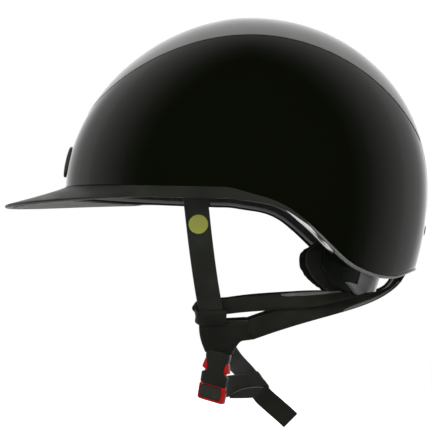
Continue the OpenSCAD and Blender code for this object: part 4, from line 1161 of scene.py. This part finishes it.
def make_rear_strap(side, s):
    """Strap that turns from the shell's edge on to the yoke, with a pale strip along one edge that paints the
    highlight where that edge catches the light.
    """
    f = shares(91)
    turn = np.pi / 2 * (1 - step_up(f, 0.16, 0.96))
    wide = np.stack([-0.33 * np.sin(turn) * (1 - f) ** 5, np.sin(turn), np.cos(turn)], 1)
    path = past_ends(cubic(REAR_ROUTE, f), 2.0, 3.0) * [1, s, 1]
    wide = np.concatenate([wide[:1], wide, wide[-1:]]) * [s, 1, s]
    make_strap(f"rear_strap_leather_{side}", f"rear_strap_{side}", path, wide, REAR_W, STRAP_T, hem=HEM, arch=0.3)
    # Width of the painted highlight along the rear strap's edge
    share = shares(49)
    reach = 3.4 * np.abs(np.sin(np.pi * share)) ** 0.6
    edge = -s * REAR_W / 2
    edge_highlight_strip(f"rear_strap_painted_highlight_{side}", path[10:59], wide[10:59], edge + s * 0.1 + 0 * share,
                 edge + s * (0.4 + reach), s)
    stitches(f"rear_strap_thread_{side}", path[2:-5], wide[2:-5], REAR_W / 2 * HEM_AT, STRAP_T / 2 - 0.24)


def front_mid(f):
    return cubic(FRONT_ROUTE, [f])[0]


LOOP_AT = front_mid(0.87) + [0.8, 0, 0]
LOOP_X, LOOP_Y = FRONT_W / 2 + 2.75, STRAP_T + 1.1
LOOP_UP = -unit(front_mid(0.9) - front_mid(0.84))
LOOP_START = LOOP_AT + [LOOP_X, LOOP_Y, -0.4]
NAPE_END = skin_at(rad(-36.4), -63.3, CRADLE_OUT - 2.2) - [0, 0, 6.4]
NAPE_ROUTE = [NAPE_END, NAPE_END + [-22, -8, -6], LOOP_START + [30, -3, 4.8], LOOP_START]


def make_nape_strap(side, s):
    """Soft strap from the cradle's lower edge, then as a sleeve round the front strap.
    Its upper part folds over towards the rear, and a pale strip with a wavy, crease-like edge paints the sheen on
    it."""
    f, g = shares(71)[:-1], shares(61)
    a = rad(mix(90, 318, g))
    ring = np.stack([LOOP_X * bend(np.cos(a), 0.8), LOOP_Y * bend(np.sin(a), 0.6), 0 * a], 1)
    ring = LOOP_AT + ring + LOOP_UP * mix(-1.0, -9.3, step_up(g, 0.05, 0.62))[:, None]
    path = np.concatenate([cubic(NAPE_ROUTE, f), ring]) * [1, s, 1]
    turn = rad(62) * (1 - step_up(f, 0, 0.6))
    flat = np.stack([0 * f, np.sin(turn), np.cos(turn)], 1)
    wide = np.concatenate([mix(flat, LOOP_UP, step_up(f, 0.6, 1)[:, None]), np.tile(LOOP_UP, (61, 1))])
    wide = wide * [1, s, 1] * s
    bodies = ("helmet", "cradle", LOOP_START * [1, s, 1], NAPE_END * [1, s, 1])
    # Width of the painted sheen on the nape strap, its wavy edge standing in for a crease
    share = shares(40)
    reach = (4.3 + np.sin(share * 14)) * np.sin(np.pi * np.clip(share, 0.02, 0.98)) ** 0.45
    edge = s * NAPE_W / 2
    edge_highlight_strip(f"nape_strap_painted_sheen_{side}", path[2:42], wide[2:42], edge - s * (0.2 + reach),
                 edge - s * 0.1 + 0 * share, s, bodies)
    make_strap(f"nape_strap_leather_{side}", f"nape_strap_{side}", path, wide, NAPE_W, WEB_T + 0.4, body=bodies,
               power=5, arch=0.3)


YOKE_OUTLINE = [(-10.2, -1.6), (9.0, -3.6), (12.2, 2.6), (15.4, 7.0), (25.4, 8.4), (21.6, 22.8),
                (5, 21.9), (-14.8, 20.6), (-14.9, 10.5)]
YOKE_RADII = [0.8, 0.8, 3, 2.0, 1.0, 1.2, 3, 1.2, 8]
YOKE_MID = np.array([3.0, 13.0])
YOKE_RINGS = np.array([0.12, 0.24, 0.36, 0.48, 0.6, 0.7, 0.78, 0.83, 0.86, 0.89, 0.92, 0.95, 0.975, 0.99, 1.0])


def make_yoke(side, s):
    """Leather patch: a rounded outline filled by rings, crowned, thin at its hem and with a
    stitched line inside the edge."""
    rim = even(round_corners(YOKE_OUTLINE, YOKE_RADII), 160)
    r = YOKE_RINGS[:, None]
    half = (1 - r**14) ** 0.5 * YOKE_T / 2 * 0.93 - 0.28 * bell(r - 0.86, 0.03) + 0.55 * (1 - r**2)
    flat = YOKE_MID + (rim - YOKE_MID)[None] * r[..., None]
    faces = [on_yoke(flat[..., 0], flat[..., 1], half), on_yoke(flat[..., 0], flat[..., 1], -half)[-2::-1]]
    rings = np.concatenate(faces)[:, ::s] * [1, s, 1]
    front, back = (on_yoke(*YOKE_MID, out * (YOKE_T / 2 + 0.5)) * [1, s, 1] for out in (1, -1))
    bowl_piece(f"yoke_leather_{side}", rings, front, back, "strap", "helmet", f"yoke_{side}", sharp=60)
    seam = YOKE_MID + (rim - YOKE_MID) * 0.885
    path = on_yoke(seam[:, 0], seam[:, 1], YOKE_T / 2 * 0.9 + 0.06) * [1, s, 1]
    out = (on_yoke(0, 0, 1) - on_yoke(0, 0, 0)) * [1, s, 1]
    stitches(f"yoke_thread_{side}", path, np.cross(np.gradient(path, axis=0), out), 0, 0, pitch=2.6, rows=((1, 1),))


# Share of a plate's outline, of its height and of its dome
PLATE_STEPS = [(0.3, 1, 1), (0.6, 1, 0.8), (0.8, 1, 0.5), (0.93, 1, 0.1), (0.975, 0.92, 0), (0.995, 0.72, 0),
               (1, 0.5, 0), (1, 0, 0), (0.5, 0, 0)]
# Radius and height of the disc's rings
DISC_STEPS = [(3, 1.0), (6.1, 1.0), (6.5, 1.06), (6.85, 0.95), (7.0, 0.75), (7.0, 0.3), (6.9, 0)]


def make_plate(name, node, finish, az, z, half_w, half_h, proud, power, dome):
    """Superellipse plate laid on the skin, domed, with its rim rounded in five steps."""
    c, v = circle(72)
    k = (np.abs(c) ** power + np.abs(v) ** power) ** (-1 / power)
    az = rad(az)
    wide = half_w / float(plan_radius(az))
    rows = [skin_at(az + s * k * c * wide, z + s * k * v * half_h, -proud * up - dome * full)
            for s, up, full in PLATE_STEPS]
    bowl_piece(name, rows, skin_at(az, z, -proud - dome), skin_at(az, z), finish, "helmet", node)


def make_disc():
    """Thin bare disc stuck to the left front strap, with a rounded rim."""
    a = unit(front_mid(0.25) - front_mid(0.15))
    out = unit(np.cross([1, 0, 0.15], a))
    out = out if out[1] < 0 else -out
    turn = full_turn(64)[:, None]
    ring = a * np.cos(turn) + np.cross(out, a) * np.sin(turn)
    base = front_mid(0.2) + out * (STRAP_T / 2 + 0.1)
    bowl_piece("strap_disc_bare", [base + ring * r + out * h for r, h in DISC_STEPS], base + out, base, "disc",
               "helmet", "strap_disc")


# Buckle, in its own frame

BUCKLE_W, BUCKLE_T, FRAME_T, PLUG_L, FRAME_ROUND = 20.0, 8.0, 6.8, 12.6, 0.9
BAR_RADIUS, BAR_HALF, BAR_Z = 1.7, 8.3, -6.7


def make_socket():
    """Socket lofted up its axis: an oblong section with soft corners, drawn in at the waist
    where the pads show, open at the mouth and closed by a stitched end at the top."""
    z = np.array([0, 0, 0.25, 0.9, 3, 5.5, 7.0, 8.0, 8.7, 9.4, 13, 16.8, 17.6, 18.3, 19.4, 21, 22.6, 23.5, 23.9,
                  24.0])[:, None]
    inset = np.array([1.6, 0.5, 0.15] + [0] * 14 + [0.15, 0.5, 1.0])[:, None]
    waist = 3.5 * step_up(z, 7.0, 9.0) - 2.6 * step_up(z, 9.4, 20.0)
    c, v = circle(64)
    x = (BUCKLE_W / 2 - inset - waist) * bend(c, 0.36)
    y = (BUCKLE_T / 2 - inset + 0.35 * np.sin(np.pi * z / SOCKET_L)) * bend(v, 0.42)
    lip = -0.9 * (z < 0.3) * (1 - (c / 1.05) ** 4) * (v < 0)
    loft_piece("buckle_socket_shell", in_buckle(np.stack([x, y, z + lip], -1)), "socket", "helmet",
               "buckle_socket", sharp=50)


def make_pad_prong(name, node, s, body):
    """Springing arm with a red release pad: a teardrop that bulges out through the waist."""
    z = np.linspace(-0.6, 19.3, 65)[:, None]
    bulge = 2.3 * np.clip((z - 9.4) / 1.4, 0, 1) ** 0.6 * np.clip((19.0 - z) / 8.2, 0, 1) ** 0.8
    outer = np.where(z < 1.2, 7.8, 8.1 + bulge) - 1.4 * step_up(z, 18, 19.6)
    inner = np.where(z < 3, 5.6, 5.9)
    half = 2.2 + 1.3 * step_up(z, 9.1, 10.1) * (1 - step_up(z, 16.0, 18.6))
    c, v = circle(28)
    x = (outer + inner) / 2 + (outer - inner) / 2 * bend(c, 0.6)
    arm = np.stack(np.broadcast_arrays(s * x, half * bend(v, 0.5), z), -1)
    loft_piece(name, in_buckle(arm), "release", body, node, sharp=60)


def make_plug():
    """Red frame of the plug, its head and the bar that the webbing wraps, and the tongue."""
    c, v = circle(96)

    def outline(half_x, low, high, power):
        return np.c_[half_x * bend(c, 2 / power), (low + high) / 2 + (high - low) / 2 * bend(v, 2 / power)]

    outer, inner = outline(BUCKLE_W / 2, -PLUG_L, -0.3, 9), outline(8.0, -11.2, -1.5, 12) - [1.1, 0]
    band = outer - inner
    size = np.linalg.norm(band, axis=1, keepdims=True)
    step = band / size * np.minimum(FRAME_ROUND, size * 0.45)
    rim = [(outer - step, 0), (outer - step * 0.3, 0.3), (outer, 1)]
    mouth = [(inner, 1), (inner + step * 0.3, 0.3), (inner + step, 0)]
    # Once round the frame's section: front face to rim, back face to mouth
    section = ([(p, 1, k) for p, k in rim] + [(p, -1, k) for p, k in rim[::-1] + mouth[::-1]]
               + [(p, 1, k) for p, k in mouth])
    loops = [np.c_[p[:, 0], np.full(len(p), face * (FRAME_T / 2 - k * FRAME_ROUND)), p[:, 1]]
             for p, face, k in section]
    ring_piece("buckle_plug_frame", in_buckle(np.stack(loops, 1)), "release", "plug", "buckle_plug", sharp=50)
    square = np.array([(1, 1.2), (-1, 1.2), (-1, -1.2), (1, -1.2)])
    # Height and half width of the tongue
    steps = [(-2.4, 0.9), (-2.0, 1.0), (10, 1.0), (15.2, 0.95), (15.9, 0.7), (16.2, 0.3)]
    tongue = np.stack([np.c_[square * half, np.full(4, z)] for z, half in steps])
    loft_piece("plug_tongue", in_buckle(rounded(tongue, 2)), "release", "plug", sharp=50)
    ring = full_turn(24)
    bar = np.stack([np.c_[np.full(24, x), BAR_RADIUS * np.cos(ring), BAR_Z + BAR_RADIUS * np.sin(ring)]
                    for x in (-BAR_HALF, BAR_HALF)])
    loft_piece("plug_bar", in_buckle(bar), "release", "plug", sharp=50)


# Chin webbing

BAR_AT = in_buckle([-0.8, 0, -6.5])
LOOP_TO = KEEPER_AT + [-7.2, -5, 1]
CHIN_ROUTE = [BAR_AT, BAR_AT - BUCKLE_OUT * 13, LOOP_TO + [-22, -6, 0], LOOP_TO]
WRAP_R = 2.0 + WEB_T / 2
WRAP_GROW, WRAP_STRETCH, WRAP_LIFT = 1.22, 1.28, 0.264
WRAP_END, END_SKEW = KEEPER_AT + [5.2, -3.4, 3.2], 0.66


def loop_wide(f):
    """Width direction of the chin loop: level on the bar, upright behind it."""
    k = step_up(f, 0.1, 0.43)
    a, b = mix(-BUCKLE_TILT - BUCKLE_SLANT, np.pi / 2, k), -BUCKLE_YAW * (1 - k)
    return np.stack([np.cos(a) * np.cos(b), -np.sin(b), np.sin(a) * np.cos(b)], -1)


def make_chin_loop():
    """Doubled webbing: round the plug's bar, turned on edge behind it, and on to the keeper,
    where its end wraps over the webbing on the diagonal."""
    f = shares(61)
    mid, wide = cubic(CHIN_ROUTE, f), loop_wide(f)
    normal = frames(mid, wide)[2]
    off = mix(WRAP_R, WEB_T / 2 + 0.3, step_up(f, 0, 0.3)) + WRAP_LIFT * WRAP_R * (1 - step_up(f, 0, 0.18))
    front, back = mid + normal * off[:, None], mid - normal * off[:, None]
    a = rad(np.linspace(-84, 84, 25))[:, None]
    wrap = BAR_AT + WRAP_R * WRAP_GROW * (BUCKLE_OUT * np.cos(a) + BUCKLE_UP * np.sin(a) * WRAP_STRETCH)
    if front[-1, 1] > back[-1, 1]:
        front, back, wrap = back, front, wrap[::-1]
    g = shares(22)[1:]
    over = cubic([front[-1], front[-1] + [5, 1.0, 0.1], WRAP_END - [5, 0.4, 0.1], WRAP_END], g)
    curl = WRAP_END + [[0.9, 0.7, 0], [1.2, 1.7, 0], [0.9, 2.7, 0], [-0.4, 3.3, 0]]
    path = np.concatenate([back[::-1], wrap, front, over, curl])
    wides = np.concatenate([wide[::-1], np.tile(loop_wide(0.0), (25, 1)), wide, np.tile([0.0, 0, 1], (25, 1))])
    sections, uv = strap_sections(path, wides, LOOP_W, WEB_T, power=12)
    skewed = np.concatenate([np.zeros(len(path) - 25), step_up(g, 0, 1), np.ones(4)])[:, None]
    sections[..., 0] -= END_SKEW * skewed * (sections[..., 2] - WRAP_END[2])
    loft_piece("chin_loop_webbing", sections, "loop_webbing", ("plug", "keeper", BAR_AT - BUCKLE_OUT * 8, LOOP_TO),
               "chin_loop", uv=uv, sharp=50)


FOLD_TOP = [(-10.2, -145.6), (-3.0, -141.4), (6.5, -139.6), (14.0, -139.5), (19.0, -142.2)]
FOLD_LOW = [(-10.2, -147.6), (-3.0, -147.8), (6.5, -147.7), (14.0, -146.2), (19.2, -143.0)]
FOLD_THICK, FOLD_HIGHLIGHT_RADIUS = 1.5, 0.42


def soft_arc(arc, f):
    """Arc through evenly spaced points, its corners worn down by averaging."""
    arc = read_off(f, np.linspace(0, 1, len(arc)), arc)
    for _ in range(30):
        arc[1:-1] = (arc[:-2] + 2 * arc[1:-1] + arc[2:]) / 4
    return arc


def make_chin_fold():
    """Lower fold of the doubled webbing: a lens between two arcs, crowned, with a pale rolled
    strand along its upper arc that paints the fold edge's highlight."""
    f, v = shares(49), shares(11)
    face = mix(soft_arc(FOLD_LOW, f)[:, None], soft_arc(FOLD_TOP, f)[:, None], v[None, :, None])
    out = -15.5 + 9.5 * f[:, None] - 1.5 * np.sin(np.pi * v)[None] * np.sin(np.pi * f)[:, None] ** 0.5
    front = np.stack([face[..., 0], out, face[..., 1]], -1)
    points = np.concatenate([front, (front + [0, FOLD_THICK, 0])[:, ::-1]], 1)
    loft_piece("chin_fold_webbing", points, "loop_webbing", "keeper", uv=points[..., [2, 0]], sharp=60)
    # Pale strand along the upper arc: painted highlight on the fold's edge
    ring = full_turn(8)
    hem = front[:, -1][:, None] + FOLD_HIGHLIGHT_RADIUS * np.stack([0 * ring, np.cos(ring), np.sin(ring)], 1)[None]
    loft_piece("chin_fold_painted_highlight", hem, "painted_highlight_strip", "keeper", sharp=ALL_SMOOTH)


CHIN_TOP = on_yoke(6.5, -3.6) * [1, -1, 1]
WEB_ROUTE = [CHIN_TOP, CHIN_TOP + [5.2, -12, -9.8], KEEPER_AT - WEB_DIR * 26, KEEPER_AT - WEB_DIR * 11]
TAIL_ROUTE = [KEEPER_AT + WEB_DIR * 13, KEEPER_AT + WEB_DIR * 17, KEEPER_AT + [20.4, -13.5, -19.5],
              KEEPER_AT + [25.8, -14, -25]]


def make_chin_web():
    """Chin webbing from the right yoke through the keeper, with its free tail."""
    f = shares(55)
    path = np.concatenate([past_ends(cubic(WEB_ROUTE, f), 3.0), [KEEPER_AT],
                           cubic(TAIL_ROUTE, shares(37))])
    turn = step_up(np.concatenate([[0], f, np.ones(38)]), -0.25, 0.32)[:, None]
    make_strap("chin_webbing", "chin_web", path, mix(np.array([1.0, 0, 0]), WEB_WIDE, turn), CHIN_W, WEB_T,
               body=("helmet", "plug", CHIN_TOP, KEEPER_AT - WEB_DIR * 8), finish="webbing", power=12)


# Distance along the webbing and growth of each ring of the keeper's sleeve
KEEPER_STEPS = [(-4.4, 0.15), (-4.7, 0.4), (-4.4, 0.65), (-3.8, 0.82), (-1.5, 0.9), (1.5, 0.9), (3.8, 0.82),
                (4.4, 0.65), (4.7, 0.4), (4.4, 0.15), (3.2, 0.05), (-3.2, 0.05)]


def make_keeper():
    """Flat leather sleeve round the webbing, its edges turned in."""
    normal = unit(np.cross(WEB_DIR, WEB_WIDE))
    axes = np.array([np.cross(normal, WEB_DIR), normal])
    oblong = bend(np.stack(circle(72), 1), 0.3)

    def loop(y, grow):
        flat = oblong * [CHIN_W / 2 - 0.1 + grow, WEB_T / 2 + 0.4 + grow]
        return KEEPER_AT + flat @ axes + WEB_DIR * (y + KEEPER_SKEW * flat[:, :1])

    ring_piece("chin_keeper_sleeve", np.stack([loop(y, grow) for y, grow in KEEPER_STEPS]), "keeper", "keeper",
               "chin_keeper", sharp=60)


def make_eased(name, node, finish, width):
    """Copy of a plain solid with its edges rounded by a bevel."""
    mesh = cad_nodes[node].data.copy()
    work = bmesh.new()
    work.from_mesh(mesh)
    bmesh.ops.remove_doubles(work, verts=work.verts, dist=1e-5)
    work.to_mesh(mesh)
    work.free()
    mesh.name = name
    mesh.materials.clear()
    mesh.materials.append(finishes[finish].mat)
    smooth_faces(mesh)
    mesh.set_sharp_from_angle(angle=rad(35))
    piece = bpy.data.objects.new(name, mesh)
    collection.objects.link(piece)
    bevel = piece.modifiers.new("ease", "BEVEL")
    bevel.width, bevel.segments, bevel.limit_method, bevel.angle_limit = width * MM, 2, "ANGLE", rad(35)
    bevel.harden_normals = True
    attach(piece, "helmet")
    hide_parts(node)


for make in (set_camera, set_world, set_floor, make_shell, make_panel, make_seam, make_peak, make_lining,
             make_rear_lip, make_foam, make_slip):
    make()
for pad in PADS:
    make_pad(*pad)
for make in (make_crown_pad, make_cradle, make_nape_pad):
    make()
both_sides(make_front_strap, make_rear_strap, make_nape_strap, make_yoke)
make_socket()
make_plug()
make_pad_prong("release_pad_front", "prong_front", -1, "front_prong")
make_pad_prong("release_pad_rear", "prong_rear", 1, "rear_prong")
for make in (make_chin_loop, make_chin_fold, make_chin_web, make_keeper, make_disc):
    make()
make_plate("front_badge_plate", "front_badge", "badge", 180, EDGE_FRONT_Z + 19, 11, 11.5, proud=2, power=3, dome=0.5)
make_plate("rear_oval_plug", "rear_plug", "plug_oval", 0, TAIL_END_Z - 13, 6, 3.8, proud=0.8, power=2, dome=0.3)
both_sides(make_tab, make_painted_edge_reflection)
make_eased("slip_stop_rubber", "slip_stops", "stops", 0.3)
make_eased("strap_anchor_plates", "strap_anchors", "anchors", 0.25)
make_eased("ball_studs", "cradle_studs", "anchors", 0.15)
for lamp in LAMPS:
    softbox(*lamp)

bpy.context.scene.view_settings.view_transform = "Standard"
